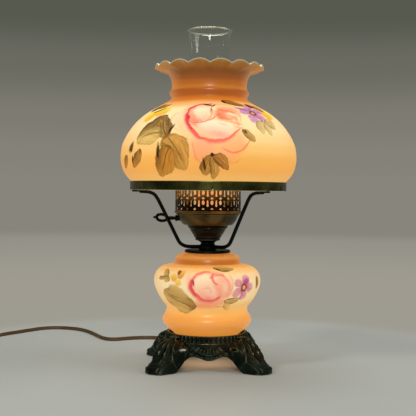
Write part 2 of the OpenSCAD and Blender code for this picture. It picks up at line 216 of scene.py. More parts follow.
def axes(degrees):
    """The outward and the leftward direction at an angle round the lamp."""
    turn = math.radians(degrees)
    return Vector((math.cos(turn), math.sin(turn), 0)), Vector((-math.sin(turn), math.cos(turn), 0))


def tapered_rod(path, radius, tip):
    """A round rod that thins to a share of its radius at both ends."""
    last = len(path) - 1

    def grow(k):
        size = tip + (1 - tip) * math.sin(math.pi * k / last)
        return size, size, 0

    return sweep_data(path, ellipse(radius, radius), grow=grow)


def raised(line, low):
    return [(r, low + z) for r, z in line]


def joined(parts):
    """Several (verts, faces) lists as one."""
    verts, faces = [], []
    for part_verts, part_faces in parts:
        base = len(verts)
        verts += part_verts
        faces += [tuple(base + k for k in face) for face in part_faces]
    return verts, faces


def settle(piece, body, slot, *nodes):
    """Rides a finished piece on its body in place of its CAD nodes."""
    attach(piece, body)
    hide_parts(*nodes)


# ---------------------------------------------------------------- camera, light and floor

CAMERA_AWAY = 1184
CAMERA_HIGH = 229.4
CAMERA_AZIMUTH = math.radians(-3)
CAMERA_PITCH = math.radians(-1.1)
CAMERA_ROLL = math.radians(0.62)
CAMERA_LENS = 77.3


WALL_TONES = [
    (0.0, "88857c"), (0.04, "85827a"), (0.08, "7d7b72"), (0.14, "6a6a61"), (0.19, "575a4f"), (0.3, "606258"),
    (0.6, "84857c"),
]
FLOOR_TONES = [(0.0, "9e9b91"), (0.25, "9f9b90"), (0.7, "95928a"), (1.0, WALL_TONES[0][1])]
FLOOR_NEAR = 350
FLOOR_FAR = 480
FLOOR_END = 4000


def make_camera():
    camera = bpy.data.objects.new("camera", bpy.data.cameras.new("camera"))
    bpy.context.scene.collection.objects.link(camera)
    camera.data.lens = CAMERA_LENS
    camera.data.sensor_width = 36
    place = Vector((math.sin(CAMERA_AZIMUTH), -math.cos(CAMERA_AZIMUTH), 0)) * CAMERA_AWAY
    place.z = CAMERA_HIGH
    turn = (
        Matrix.Rotation(CAMERA_AZIMUTH, 4, "Z")
        @ Matrix.Rotation(math.radians(90) + CAMERA_PITCH, 4, "X")
        @ Matrix.Rotation(CAMERA_ROLL, 4, "Z")
    )
    camera.matrix_world = Matrix.Translation(place * MM) @ turn
    bpy.context.scene.camera = camera


def area_light(name, place, aim, size, power, colour=(1, 1, 1), glints=True):
    data = bpy.data.lights.new(name, "AREA")
    data.shape, data.size, data.energy, data.color = "DISK", size * MM, power, colour
    lamp = bpy.data.objects.new(name, data)
    bpy.context.scene.collection.objects.link(lamp)
    lamp.location = Vector(place) * MM
    lamp.rotation_mode = "QUATERNION"
    lamp.rotation_quaternion = (Vector(aim) - Vector(place)).to_track_quat("-Z", "Y")
    lamp.visible_glossy = glints


def make_studio():
    scene = bpy.context.scene
    scene.view_settings.view_transform = "Standard"
    world = bpy.data.worlds.new("studio")
    world.use_nodes = True
    back = world.node_tree.nodes["Background"]
    net = Net(world.node_tree)
    up = net.node("ShaderNodeSeparateXYZ")
    net.plug(up.inputs[0], Wire(net, net.node("ShaderNodeTexCoord").outputs["Generated"]))
    net.plug(back.inputs["Color"], net.ramp(Wire(net, up.outputs[2]), WALL_TONES))
    scene.world = world
    area_light("key_light", (-1500, -1000, 1500), (0, 0, 220), 380, 15, (1, 0.97, 0.93), glints=False)
    area_light("front_light", (-60, -1900, 1300), (0, 0, 200), 380, 14, (1, 0.98, 0.95))
    area_light("fill_light", (1500, -300, 1300), (0, 0, 200), 1200, 14, (0.97, 0.98, 1), glints=False)
    area_light("top_light", (-200, 500, 1900), (0, 0, 0), 1200, 14, (1, 0.98, 0.96), glints=False)
    area_light("glow_below", (0, 0, 31), (0, 0, 0), 70, 0.03, (1, 0.62, 0.38), glints=False)
    floor = add_object(
        "floor", [(-6000, -6000, 0), (6000, -6000, 0), (6000, 6000, 0), (-6000, 6000, 0)],
        [(0, 1, 2, 3)], [floor_paint()],
    )


# ---------------------------------------------------------------- node materials


def operator(operation, swapped=False):
    """A method that puts a wire and another value through a math node."""

    def apply(wire, other):
        values = (other, wire) if swapped else (wire, other)
        return wire.net.math(operation, *values)

    return apply


class Wire:
    """A socket in a node tree that can be used in sums."""

    __add__ = operator("ADD")
    __radd__ = operator("ADD", True)
    __sub__ = operator("SUBTRACT")
    __rsub__ = operator("SUBTRACT", True)
    __mul__ = operator("MULTIPLY")
    __rmul__ = operator("MULTIPLY", True)
    __truediv__ = operator("DIVIDE")

    def __init__(self, net, socket):
        self.net, self.socket = net, socket

    def __neg__(self):
        return self * -1

    def __abs__(self):
        return self.net.math("ABSOLUTE", self)


class Net:
    """A node tree written as sums of wires."""

    def __init__(self, tree):
        self.tree = tree

    def node(self, kind, **settings):
        made = self.tree.nodes.new(kind)
        for key, value in settings.items():
            setattr(made, key, value)
        return made

    def plug(self, socket, value):
        if isinstance(value, Wire):
            self.tree.links.new(value.socket, socket)
        elif isinstance(value, (tuple, list)) and socket.type == "RGBA" and len(value) == 3:
            socket.default_value = (*value, 1)
        else:
            socket.default_value = value

    def math(self, operation, *values):
        made = self.node("ShaderNodeMath", operation=operation)
        for socket, value in zip(made.inputs, values):
            self.plug(socket, value)
        return Wire(self, made.outputs[0])

    def far(self, x, y):
        """Distance from the middle."""
        return self.math("SQRT", x * x + y * y)

    def step(self, value, low, high):
        """0 below low and 1 above high, or the other way round, with a soft slope."""
        made = self.node("ShaderNodeMapRange", interpolation_type="SMOOTHSTEP")
        for socket, given in zip(made.inputs, (value, low, high, 0, 1)):
            self.plug(socket, given)
        return Wire(self, made.outputs[0])

    def blend(self, amount, low, high):
        made = self.node("ShaderNodeMix", data_type="RGBA")
        for socket, given in zip((made.inputs[0], made.inputs[6], made.inputs[7]), (amount, low, high)):
            self.plug(socket, given)
        return Wire(self, made.outputs[2])

    def ramp(self, value, stops):
        """Smooth colour bands from (place, hex code) stops."""
        made = self.node("ShaderNodeValToRGB")
        made.color_ramp.interpolation = "EASE"
        points = made.color_ramp.elements
        while len(points) < len(stops):
            points.new(0.5)
        for point, (place, code) in zip(points, stops):
            point.position = place
        for point, (place, code) in zip(points, stops):
            point.color = (*srgb(code), 1)
        self.plug(made.inputs[0], value)
        return Wire(self, made.outputs[0])

    def place(self):
        """The mesh's own coordinates in millimetres, as three wires."""
        raw = self.node("ShaderNodeTexCoord").outputs["Object"]
        split = self.node("ShaderNodeSeparateXYZ")
        self.tree.links.new(raw, split.inputs[0])
        return [Wire(self, out) * 1000 for out in split.outputs]

    def vector(self, x, y, z=0.0):
        made = self.node("ShaderNodeCombineXYZ")
        for socket, value in zip(made.inputs, (x, y, z)):
            self.plug(socket, value)
        return Wire(self, made.outputs[0])

    def noise(self, scale, detail=3.0, rough=0.5, at=None, warp=0.0):
        """Cloudy noise from 0 to 1; scale is in patches per metre unless at is given."""
        made = self.node("ShaderNodeTexNoise")
        if at is None:
            at = Wire(self, self.node("ShaderNodeTexCoord").outputs["Object"])
        for name, value in (("Vector", at), ("Scale", scale), ("Detail", detail),
                            ("Roughness", rough), ("Distortion", warp)):
            self.plug(made.inputs[name], value)
        return Wire(self, made.outputs[0])

    def attribute(self, name):
        return Wire(self, self.node("ShaderNodeAttribute", attribute_name=name).outputs["Fac"])

    def bump(self, height, strength, distance):
        made = self.node("ShaderNodeBump")
        self.plug(made.inputs["Strength"], strength)
        self.plug(made.inputs["Distance"], distance * MM)
        self.plug(made.inputs["Height"], height)
        return Wire(self, made.outputs[0])


def srgb(code):
    """A colour from its hex code, as linear numbers."""
    parts = [int(code[k:k + 2], 16) / 255 for k in (0, 2, 4)]
    return tuple(c / 12.92 if c <= 0.04045 else ((c + 0.055) / 1.055) ** 2.4 for c in parts)


def material(name, recipe, glows=False):
    """A Principled material; recipe(net) returns its sockets' values by name."""
    made = bpy.data.materials.new(name)
    made.use_nodes = True
    net = Net(made.node_tree)
    shader = made.node_tree.nodes["Principled BSDF"]
    for socket, value in recipe(net).items():
        net.plug(shader.inputs[socket], value)
    if glows:
        made.cycles.emission_sampling = "NONE"
    return made


def floor_paint():
    """Pale table top that melts into the wall's tone away from the lamp."""

    def recipe(net):
        x, y = net.place()[:2]
        cloud = net.noise(3, 4)
        away = net.far(x, y)
        far = net.step(away, FLOOR_NEAR, FLOOR_FAR)
        near = net.blend(cloud, srgb("a6aaa7"), srgb("b2b5b2"))
        wall = net.ramp(away / FLOOR_END, FLOOR_TONES)
        return {
            "Base Color": net.blend(far, near, (0, 0, 0)),
            "Emission Color": net.blend(far, (0, 0, 0), wall),
            "Emission Strength": 1.0,
            "Roughness": 0.5 + far * 0.5,
            "Specular IOR Level": 0.5 - far * 0.5,
        }

    return material("floor_paint", recipe, glows=True)


def cord_vinyl():
    def recipe(net):
        grain = net.noise(900, 4)
        tone = net.noise(40, 3)
        return {
            "Base Color": net.blend(tone, srgb("33240f"), srgb("644a28")),
            "Roughness": 0.42 + 0.16 * grain,
            "Normal": net.bump(grain, 0.25, 0.2),
        }

    return material("cord_vinyl", recipe)


# ---------------------------------------------------------------- the free cord

CORD_WIDE = 5.4
CORD_THICK = 2.8
CORD_FALL = [
    (0, 84, 24), (0, 94, 24), (-1, 105, 22.3), (-3, 116, 17.4), (-6, 127, 10.8),
    (-11, 138, 5.4), (-18, 150, 3),
]
CORD_LOW = 2.7
CORD_FLOOR = [
    (-28, 163), (-40, 176), (-56, 186), (-75, 191), (-95, 190), (-113, 183), (-128, 176),
    (-140, 177), (-149, 187), (-157, 204), (-166, 226), (-177, 250), (-192, 271), (-212, 284),
    (-235, 288), (-255, 279), (-271, 261), (-286, 243), (-300, 226), (-313, 209), (-326, 193),
    (-339, 177),
]
CORD_ROUTE = CORD_FALL + [(x, y, CORD_LOW) for x, y in CORD_FLOOR]
TAIL_ROUTE = [(-409, 206, 5.6), (-409.5, 216, 5.6), (-411, 228, 4.4), (-412.5, 242, 3.6), (-413, 256, 4.8)]
COIL_TURNS = 3.19
COIL_STEPS = 40


def coil_points():
    """Two flat layers: a spiral in to the middle, then one out again on top of it."""
    low, high = span("cord_coil")
    centre = (low + high) / 2
    outer = (high.x - low.x) / 2 - CORD_WIDE * 0.6
    inner = outer - COIL_TURNS * CORD_WIDE * 1.08
    bottom, top = low.z + CORD_THICK / 2, low.z + CORD_THICK * 1.55
    total = 2 * COIL_TURNS
    steps = round(total * COIL_STEPS)
    out = []
    for k in range(1, steps + 1):
        turn = total * k / steps
        radius = mix(outer, inner, 1 - abs(turn / COIL_TURNS - 1))
        angle = math.radians(-45) - TAU * turn
        z = mix(bottom, top, ease((turn - COIL_TURNS + 0.12) / 0.24))
        out.append(Vector((centre.x + radius * math.cos(angle), centre.y + radius * math.sin(angle), z)))
    return out


def cord_section():
    """The outline of a flat twin cord: two round wires side by side with a groove between."""
    r = CORD_THICK / 2
    off = CORD_WIDE / 2 - r
    left = [(-off + r * math.cos(a), r * math.sin(a)) for a in (math.radians(d) for d in range(48, 313, 24))]
    return left + [(-x, -y) for x, y in left]


def make_cord(vinyl):
    """Cord from the strain relief to the plug. It leaves the base on edge and lies flat in its coil."""
    free = curve(CORD_ROUTE, 6)
    low, high = span("plug_body")
    end = Vector(((low.x + high.x) / 2, low.y, (low.z + high.z) / 2))
    coil = coil_points()
    tail = curve(TAIL_ROUTE + [end], 5)[1:]
    path = free + coil[:-1] + tail
    whole = []
    for k, p in enumerate(path):
        near = path[max(k - 2, 0):k + 3]
        mean = sum(near, Vector()) / len(near)
        whole.append(p if k in (0, len(path) - 1) else mix(p, mean, 0.6))
    count = len(free)

    def roll(i):
        if i < count:
            t = i / count
            return math.radians(80) * (ease((t - 0.12) / 0.2) - ease((t - 0.88) / 0.12))
        return 0.0

    line = []
    for k, p in enumerate(whole):
        tilt = abs(math.sin(roll(k)))
        rest = CORD_THICK / 2 + tilt * (CORD_WIDE - CORD_THICK) / 2 + 0.05
        drop = ease(k / (count * 0.35))
        z = mix(p.z, rest, drop) if k < count and p.z < 3.2 else p.z
        line.append(Vector((p.x, p.y, z)))
    for _ in range(3):
        line = [line[0]] + [
            Vector((b.x, b.y, (a.z + 2 * b.z + c.z) / 4)) for a, b, c in zip(line, line[1:], line[2:])
        ] + [line[-1]]
    verts, faces = sweep_data(line, cord_section(), grow=lambda i: (1, 1, roll(i)))
    piece = add_object("free_cord", verts, faces, [vinyl], 60)
    settle(piece, "lamp_body", "cord_brown", "cord", "cord_coil", "cord_tail")
    length = running_length(line)[-1]


# ---------------------------------------------------------------- paint strokes as node groups


class Brush:
    """A paint stroke as a node group: it takes the colour below and a place, and gives the new colour."""

    def __init__(self, name, inputs, recipe):
        self.tree = bpy.data.node_groups.new(name, "ShaderNodeTree")
        self.inputs = inputs.split()
        self.labels = ["below", "x", "y"] + self.inputs
        net, given = Net(self.tree), {}
        for label in self.labels:
            kind = "NodeSocketColor" if label in ("below", "colour", "other") else "NodeSocketFloat"
            self.tree.interface.new_socket(label, in_out="INPUT", socket_type=kind)
        self.tree.interface.new_socket("paint", in_out="OUTPUT", socket_type="NodeSocketColor")
        entry, leave = net.node("NodeGroupInput"), net.node("NodeGroupOutput")
        for label in self.labels:
            given[label] = Wire(net, entry.outputs[label])
        net.plug(leave.inputs["paint"], recipe(net, given))

    def paint(self, net, below, x, y, *values):
        made = net.node("ShaderNodeGroup", node_tree=self.tree)
        for label, value in zip(self.labels, (below, x, y, *values)):
            net.plug(made.inputs[label], srgb(value) if isinstance(value, str) else value)
        return Wire(net, made.outputs[0])


def grain(net, x, y, stretch=1.0, patch=4.0):
    """Noise from 0 to 1 on the painted surface, in patches of that many millimetres."""
    return net.noise(1.0, 3, 0.6, at=net.vector(x / patch, y / (patch * stretch)))


def turned(net, g):
    """Place within a stroke, turned so that the stroke lies along x."""
    dx, dy = g["x"] - g["cx"], g["y"] - g["cy"]
    c, s = net.math("COSINE", g["turn"]), net.math("SINE", g["turn"])
    return dx * c + dy * s, dy * c - dx * s


def wash_recipe(net, g):
    """A soft oval patch that shades from colour at its bottom to other at its top."""
    u, v = turned(net, g)
    u, v = u / g["wide"], v / g["high"]
    rough = (grain(net, g["x"], g["y"], 1, 5) - 0.5) * 0.5
    far = net.far(u, v) + rough
    mask = net.step(far, 1, 1 - g["soft"]) * g["strength"]
    return net.blend(mask, g["below"], net.blend(net.step(v, -0.8, 0.8), g["colour"], g["other"]))


def line_recipe(net, g):
    """A curved stroke on a circle, sharper on one side and thin at its ends."""
    dx, dy = g["x"] - g["cx"], g["y"] - g["cy"]
    c, s = net.math("COSINE", g["turn"]), net.math("SINE", g["turn"])
    angle = net.math("ARCTAN2", dy * c - dx * s, dx * c + dy * s)
    end = angle / g["reach"]
    taper = net.math("SQRT", net.math("MAXIMUM", 1 - end * end, 0.0001))
    wave = (grain(net, g["x"], g["y"], 1, 7) - 0.5) * 2.2
    off = net.far(dx, dy) - g["radius"] + wave
    off = net.math("MAXIMUM", off / g["outside"], -off / g["inside"]) / taper
    dry = 0.75 + 0.5 * grain(net, g["x"], g["y"], 1, 2)
    mask = net.math("MINIMUM", net.step(off, 1, 0.15) * g["strength"] * dry, 1)
    mask = mask * net.step(abs(end), 1, 0.9)
    return net.blend(mask, g["below"], g["colour"])


def leaf_recipe(net, g):
    """A leaf from its stalk at x, y to its tip, dark along one side with a thin vein."""
    u, v = turned(net, g)
    t = u / g["long"]
    v = (v - g["bend"] * 4 * t * (1 - t)) / g["wide"]
    inside = net.math("MAXIMUM", t * (1 - t), 0)
    edge = net.math("POWER", inside * 4, 0.62) * (1.12 - 0.3 * t)
    edge = edge + (grain(net, g["x"], g["y"], 1, 6) - 0.5) * 0.28
    size = abs(v)
    mask = net.step(size, edge, edge - 0.16) * net.step(inside, 0, 0.03) * g["strength"]
    streak = net.noise(1.0, 4, 0.65, at=net.vector(t * 2.2 + size, v * 4.5 + g["cx"]))
    body = net.blend(net.step(streak, 0.32, 0.68), g["colour"], g["other"])
    shade = net.step(v + (streak - 0.5) * 0.7, 0.1, -0.85)
    shade = net.math("MAXIMUM", shade * 0.75, net.step(size, edge - 0.22, edge - 0.04) * 0.8)
    shade = net.math("MAXIMUM", shade, net.step(t, 0.2, 0.02) * 0.8)
    vein = net.step(size, 0.09, 0.02) * net.step(t, 0.95, 0.6) * 0.75
    shade = net.math("MAXIMUM", shade, vein) * (0.55 + 0.6 * streak)
    return net.blend(mask, g["below"], net.blend(shade, body, srgb("2e2109")))


def bloom_recipe(net, g):
    """A small flower of five petals round an orange eye."""
    u, v = turned(net, g)
    u, v = u / g["wide"], v / g["high"]
    far, angle = net.far(u, v), net.math("ARCTAN2", v, u)
    lobe = abs(net.math("COSINE", angle * 2.5))
    edge = 0.25 + 0.8 * net.math("POWER", lobe, 0.32) + (grain(net, g["x"], g["y"], 1, 4) - 0.5) * 0.35
    tone = net.noise(1.0, 3, 0.6, at=net.vector(angle * 1.6, far * 1.4))
    body = net.blend(net.step(tone + far * 0.3, 0.45, 0.8), g["colour"], g["other"])
    flower = net.blend(net.step(far, edge, edge - 0.18) * g["strength"], g["below"], body)
    ring = net.blend(net.step(far, 0.34, 0.22) * 0.85, flower, srgb("5a3010"))
    return net.blend(net.step(far, 0.2, 0.08), ring, srgb("eeaa5c"))


WASH = Brush("wash_stroke", "cx cy wide high turn soft strength colour other", wash_recipe)
LINE = Brush("line_stroke", "cx cy radius turn reach inside outside strength colour", line_recipe)
LEAF = Brush("leaf_stroke", "cx cy long wide turn bend strength colour other", leaf_recipe)
BLOOM = Brush("bloom_stroke", "cx cy wide high turn strength colour other", bloom_recipe)


def wash(x, y, wide, high, turn, soft, strength, colour, other):
    return WASH, (x, y, wide, high, math.radians(turn), soft, strength, colour, other)


def line(x, y, radius, turn, reach, inside, outside, strength, colour):
    return LINE, (x, y, radius, math.radians(turn), math.radians(reach), inside, outside, strength, colour)


def leaf(x, y, tip_x, tip_y, wide, bend=0.0, colour="7d6a2a", other="b39a4c", strength=0.95):
    turn = math.atan2(tip_y - y, tip_x - x)
    return LEAF, (x, y, math.hypot(tip_x - x, tip_y - y), wide / 2, turn, bend, strength, colour, other)


def bloom(x, y, wide, high, turn, colour, other, strength=0.95):
    return BLOOM, (x, y, wide, high, math.radians(turn), strength, colour, other)


ROSE = [
    wash(2, 2, 54, 50, 0, 0.7, 0.75, "ffb27a", "fcdcae"),
    wash(-38, 10, 16, 27, 12, 0.7, 0.6, "fdb98a", "fcd3a8"),
    line(-36, 8, 16, 180, 80, 3, 0.8, 0.4, "f0a078"),
    wash(-12, -32, 22, 22, 15, 0.6, 0.75, "fb9a68", "fdae80"),
    wash(24, -28, 26, 19, 20, 0.55, 0.75, "fda468", "fdb880"),
    wash(12, -42, 22, 9, -6, 0.6, 0.55, "fb9c66", "fcab78"),
    wash(-2, 44, 30, 9, 0, 0.7, 0.7, "f8aa80", "f8c090"),
    line(26, -14, 22, 290, 62, 3.5, 1, 0.65, "ee6a4c"),
    line(-4, -32, 20, 205, 48, 2.5, 0.8, 0.5, "ee7a56"),
    line(24, -36, 14, 255, 70, 3, 0.8, 0.4, "f08050"),
    wash(-20, 17, 18, 26, 14, 0.45, 0.95, "f58466", "fbb484"),
    wash(20, 22, 20, 17, -20, 0.4, 0.95, "f27048", "f8a878"),
    wash(26, 18, 13, 11, -20, 0.9, 1, "ffd49c", "ffe6bc"),
    line(13, 8, 21, 66, 40, 5, 1, 0.75, "f06644"),
    line(16, 2, 17, 45, 60, 4, 1, 0.55, "f0785a"),
    line(24, 12, 13, 20, 70, 2, 0.8, 0.6, "ee9468"),
    wash(28, 4, 15, 2.4, -8, 0.6, 0.7, "f08058", "f8a878"),
    wash(34, -4, 12, 2.2, -18, 0.6, 0.6, "f09064", "f8b080"),
    wash(-13, 22, 12, 17, 10, 0.5, 1, "fbc8a2", "fee6c0"),
    line(-13, 22, 15, 352, 48, 4, 0.8, 0.6, "ea7868"),
    wash(5, -4, 26, 15, -10, 0.3, 1, "fcc09c", "fee6c0"),
    wash(8, -13, 18, 6, -6, 0.9, 0.75, "f99a84", "fcb498"),
    wash(14, 2, 12, 3, -28, 0.8, 0.6, "f8ac88", "fcc8a0"),
    line(-27, 50, 47, 300, 27, 1, 2.2, 0.9, "e85c50"),
    line(-3, 19, 27, 128, 50, 5, 1.4, 1, "e43c54"),
    line(4, 14, 35, 208, 46, 2, 6.5, 0.95, "e03248"),
    line(4, 14, 35, 272, 58, 1.8, 6.5, 0.9, "f6645c"),
    wash(-29, 13, 3, 11, 6, 0.8, 0.95, "c8183a", "dc2444"),
    wash(-5, 42, 3.2, 7, 60, 0.5, 1, "641c1c", "4c1414"),
    wash(1, 38, 2.2, 7, -30, 0.5, 0.85, "a03434", "7c2020"),
    wash(-1, 27, 1.8, 9, 2, 0.7, 0.8, "dc5048", "b83c38"),
]
VIOLET = ("ac548e", "d092b0")
YELLOW = ("eca816", "fcd43a")
SHADE_FLOWERS = [
    (-1, 85, ROSE),
    (-36, 60, [
        leaf(-1, 45, -40, 5, 26, 3, "6a4618", "a87c34"),
        leaf(12, 6, -5, 43, 25, 2, "5c3a12", "c49040"),
        wash(14, 20, 2.6, 11, -12, 0.6, 0.95, "301a08", "402408"),
        leaf(2, 15, -39, 4, 28, -2, "cc9c4c", "e8c272"),
        leaf(7, 10, 36, -33, 38, 6, "b87a2a", "dca44e"),
        leaf(16, -3, 0, -43, 30, 3, "b4701e", "cc8c38"),
        wash(2, -9, 3, 14, 8, 0.6, 0.95, "2c1808", "3a220c"),
    ]),
    (-66, 45, [
        wash(11, 12, 7, 9, -12, 0.5, 0.95, "3c2208", "5a3810"),
        leaf(33, 9, 14, -14, 17, 2, "96621e", "c4883a"),
        wash(16, -4, 1.8, 8, 0, 0.6, 0.9, "2c1808", "3a220c"),
        leaf(2, 2, -14, -16, 14, 0, "9a6420", "c08438"),
    ]),
    (-52, 112, [
        wash(-9, -9, 14, 12, 46, 0.4, 0.95, *YELLOW),
        wash(8, 0, 15, 13, 22, 0.4, 0.95, *YELLOW),
        wash(-14, 12, 15, 9.5, 52, 0.4, 0.95, "4c3008", "7a5418"),
        wash(-2, 14, 11, 6.6, 44, 0.4, 0.95, "7a5418", "a87c2c"),
        wash(0, 3, 14, 2.6, 34, 0.4, 0.9, "5a3a10", "7a5418"),
    ]),
    (0, 20, [
        leaf(-2, 27, -9, -2, 16, -3, "a86c24", "cc8e3c"),
        leaf(-1, 26, 2, -6, 14, 0, "b87c30", "d49a48"),
        leaf(-1, 27, 17, 6, 16, 3, "985c1e", "cc8838"),
        wash(-11, 14, 1.6, 10, 14, 0.5, 0.9, "3a220a", "2e1a08"),
        wash(-2, 26, 3, 3, 0, 0.4, 0.95, "241206", "2e1a08"),
    ]),
    (36, 95, [
        leaf(-27, 43, 1, 33, 15, 1, "784618", "b07428"),
        wash(-23, 42, 3, 5, 0, 0.4, 0.95, "2a1808", "3a240c"),
        wash(25, 17, 17, 14, -32, 0.4, 0.95, *YELLOW),
        wash(21, 29, 14, 8, -34, 0.4, 0.95, "8a5c18", "b07c28"),
        wash(9, 33, 8, 7.5, -30, 0.4, 0.95, "4c2c0c", "3a220a"),
        bloom(1, 14, 20, 20, 24, *VIOLET),
        wash(-12, 24, 12, 4.5, -20, 0.5, 0.95, "a04c88", "c07aa6"),
        leaf(6, 1, -2, -22, 16, -2, "c8a050", "e4c078", 0.75),
        leaf(12, 1, 27, -12, 20, 3, "c69c4e", "e6c27a", 0.8),
        leaf(10, -2, 13, -24, 13, 1, "cca654", "e6c680", 0.7),
        leaf(-31, -16, -17, -31, 14, 0, "b0823a", "cc9e54", 0.9),
        wash(-28, -19, 3, 2.6, -40, 0.5, 0.9, "4a3010", "5a3c14"),
    ]),
]
FONT_ROSE = [
    wash(0, 1, 34, 31, 0, 0.8, 0.8, "f6ac80", "fad0a0"),
    wash(-24, 8, 8, 22, 14, 0.8, 0.7, "f2966c", "f6b48c"),
    wash(-6, -21, 23, 10, -4, 0.7, 0.85, "f08c60", "f4a078"),
    wash(13, -16, 13, 7, 14, 0.7, 0.8, "f29a6e", "f4a47c"),
    wash(4, 25, 16, 5, -8, 0.7, 0.8, "ee8c74", "f4b08c"),
    wash(17, 5, 16, 18, -8, 0.35, 0.95, "f49c7c", "f8b894"),
    wash(21, 6, 9, 16, -12, 0.9, 0.95, "fac498", "fccca4"),
    line(6, 4, 20, 40, 50, 5, 1, 0.7, "f08670"),
    line(4, -2, 20, 25, 42, 3, 1, 0.5, "f0947a"),
    line(10, 8, 14, 100, 50, 4, 1, 0.75, "ee7666"),
    line(15, 18, 11, 192, 52, 1, 5, 0.9, "ee6264"),
    line(12, 9, 18.5, 2, 52, 1.6, 1, 0.55, "f0927c"),
    line(2, 6, 24, 192, 48, 1.5, 6, 0.75, "f08470"),
    wash(-8, 9, 12, 15, 12, 0.4, 1, "f4bc98", "fadcb4"),
    wash(-3, -3, 16, 10, -14, 0.4, 1, "f8aa8c", "fac8a4"),
    wash(-1, -8, 10, 4, -8, 0.8, 0.75, "f48c78", "f8a488"),
    line(-6, -4, 8, 70, 60, 1, 1.4, 0.6, "f0907c"),
    line(-2, 6, 21, 118, 40, 4.5, 2, 0.85, "ea6864"),
    line(0, 7, 22.5, 190, 34, 2, 7, 1, "de4c54"),
    line(-1, 8, 20.5, 264, 54, 2.4, 7.5, 0.95, "ea5e58"),
    wash(-20, 11.5, 2.2, 6, 8, 0.6, 0.95, "b42444", "c43450"),
    wash(12, -24, 12, 1.8, -6, 0.7, 0.6, "ea6a54", "ee7a60"),
]
FONT_VIOLET = ("bc587c", "e09a96")
FONT_FLOWERS = [
    (0, 78, FONT_ROSE),
    (-42, 75, [
        leaf(25, -22, -20, 0, 38, 2, "b48a42", "d2a85e"),
        wash(6, -1, 17, 11, -24, 0.35, 0.95, "be944c", "cea662"),
        wash(18, -18, 7, 6, -30, 0.8, 0.7, "9a6428", "a8702c"),
        wash(1, -7, 14, 0.8, -11, 0.6, 0.8, "6a4818", "7a5420"),
        leaf(-8, 21, -22, 32, 11, 1, "b88e44", "cea65e"),
        leaf(-6, 14, -17, 20, 10, 0, "bc9248", "d2aa62"),
        leaf(-13, 20, -29, 15, 6, 0, "a07430", "c49c50"),
        wash(0.4, 19, 6.8, 7, 20, 0.4, 0.95, "dc9a38", "ecb850"),
        wash(11, 23.4, 7.4, 7, -15, 0.4, 0.95, "cc8a30", "e8a84c"),
        wash(8.4, 13, 6.6, 5.6, 0, 0.4, 0.95, "e8b044", "f0c464"),
        wash(6, 27, 3.4, 4.4, 30, 0.4, 0.95, "7c4410", "904e14"),
    ]),
    (36, 75, [
        leaf(-31, 36.5, -3, 37.5, 17, 1, "a87c30", "cc9e50"),
        wash(-27.5, 36, 3, 6.4, 24, 0.5, 0.95, "3c240c", "4c2c0c"),
        bloom(3.4, 5.6, 18, 18, -3, *FONT_VIOLET),
        wash(8, 13.6, 5.4, 5.4, -30, 0.4, 0.85, "a84480", "b85488"),
        leaf(33, 20, 33, 2, 11, 0, "8e642c", "bc9054"),
        leaf(-20, -12, 3, -9, 13, -2, "b8843a", "e2b066", 0.85),
        wash(-11, -8.6, 8, 1.2, 12, 0.6, 0.85, "5a3410", "6a4014"),
        leaf(-17, -14, -9, -28, 10, 0, "cc9440", "e8b258", 0.55),
    ]),
]

# ---------------------------------------------------------------- painted glass

# Tones up the shade by height. Besides its painted bands they hold painted shade: the crown and the underside
# of its flare are darker, lying farther from the bulb.
SHADE_TONES = [
    (0.0, "fcc878"), (0.07, "fcc06c"), (0.15, "f8b056"), (0.22, "f8b458"), (0.3, "fac472"),
    (0.38, "fad18c"), (0.48, "fde0a6"), (0.6, "fce0a6"), (0.66, "f6b264"), (0.705, "d07428"),
    (0.745, "a8581c"), (0.775, "a4541a"), (0.8, "bc7026"), (0.84, "ac5e1c"), (0.875, "8e4e16"),
    (0.92, "7c4616"), (0.96, "8e5c26"), (1.0, "94703e"),
]
FONT_TONES = [
    (0.0, "ec9038"), (0.08, "f09c40"), (0.16, "ea9846"), (0.24, "f0a048"), (0.31, "f8b258"),
    (0.4, "f6c478"), (0.5, "f8d8a0"), (0.64, "f6dcaa"), (0.77, "f4d09a"), (0.835, "efb870"),
    (0.868, "e09a4c"), (0.885, "b8661f"), (0.92, "b46822"), (0.96, "cc8238"), (1.0, "b87030"),
]


def reach_of(brush, values):
    """Leftmost, rightmost and middle height of a stroke."""
    given = dict(zip(brush.inputs, values))
    if brush is LEAF:
        tip = given["long"] * math.cos(given["turn"])
        ends = (given["cx"], given["cx"] + tip)
        pad = given["wide"] * 1.6 + abs(given["bend"]) + 2
        return min(ends) - pad, max(ends) + pad, given["cy"] + given["long"] * math.sin(given["turn"]) / 2
    if brush is LINE:
        pad = given["radius"] + given["outside"] + 3
    else:
        pad = max(given["wide"], given["high"]) * 1.3 + 2
    return given["cx"] - pad, given["cx"] + pad, given["cy"]


def touching(clusters, low, high, outer, run):
    """The strokes that touch an upright strip of the glass, cluster by cluster."""
    for around, up, strokes in clusters:
        kept = []
        for brush, values in strokes:
            left, right, middle = reach_of(brush, values)
            near = min(range(len(run)), key=lambda k: abs(run[k] - up - middle))
            radius = outer[near].x * 0.8
            if around + math.degrees(right / radius) > low and around + math.degrees(left / radius) < high:
                kept.append((brush, values))
        if kept:
            yield around, up, kept


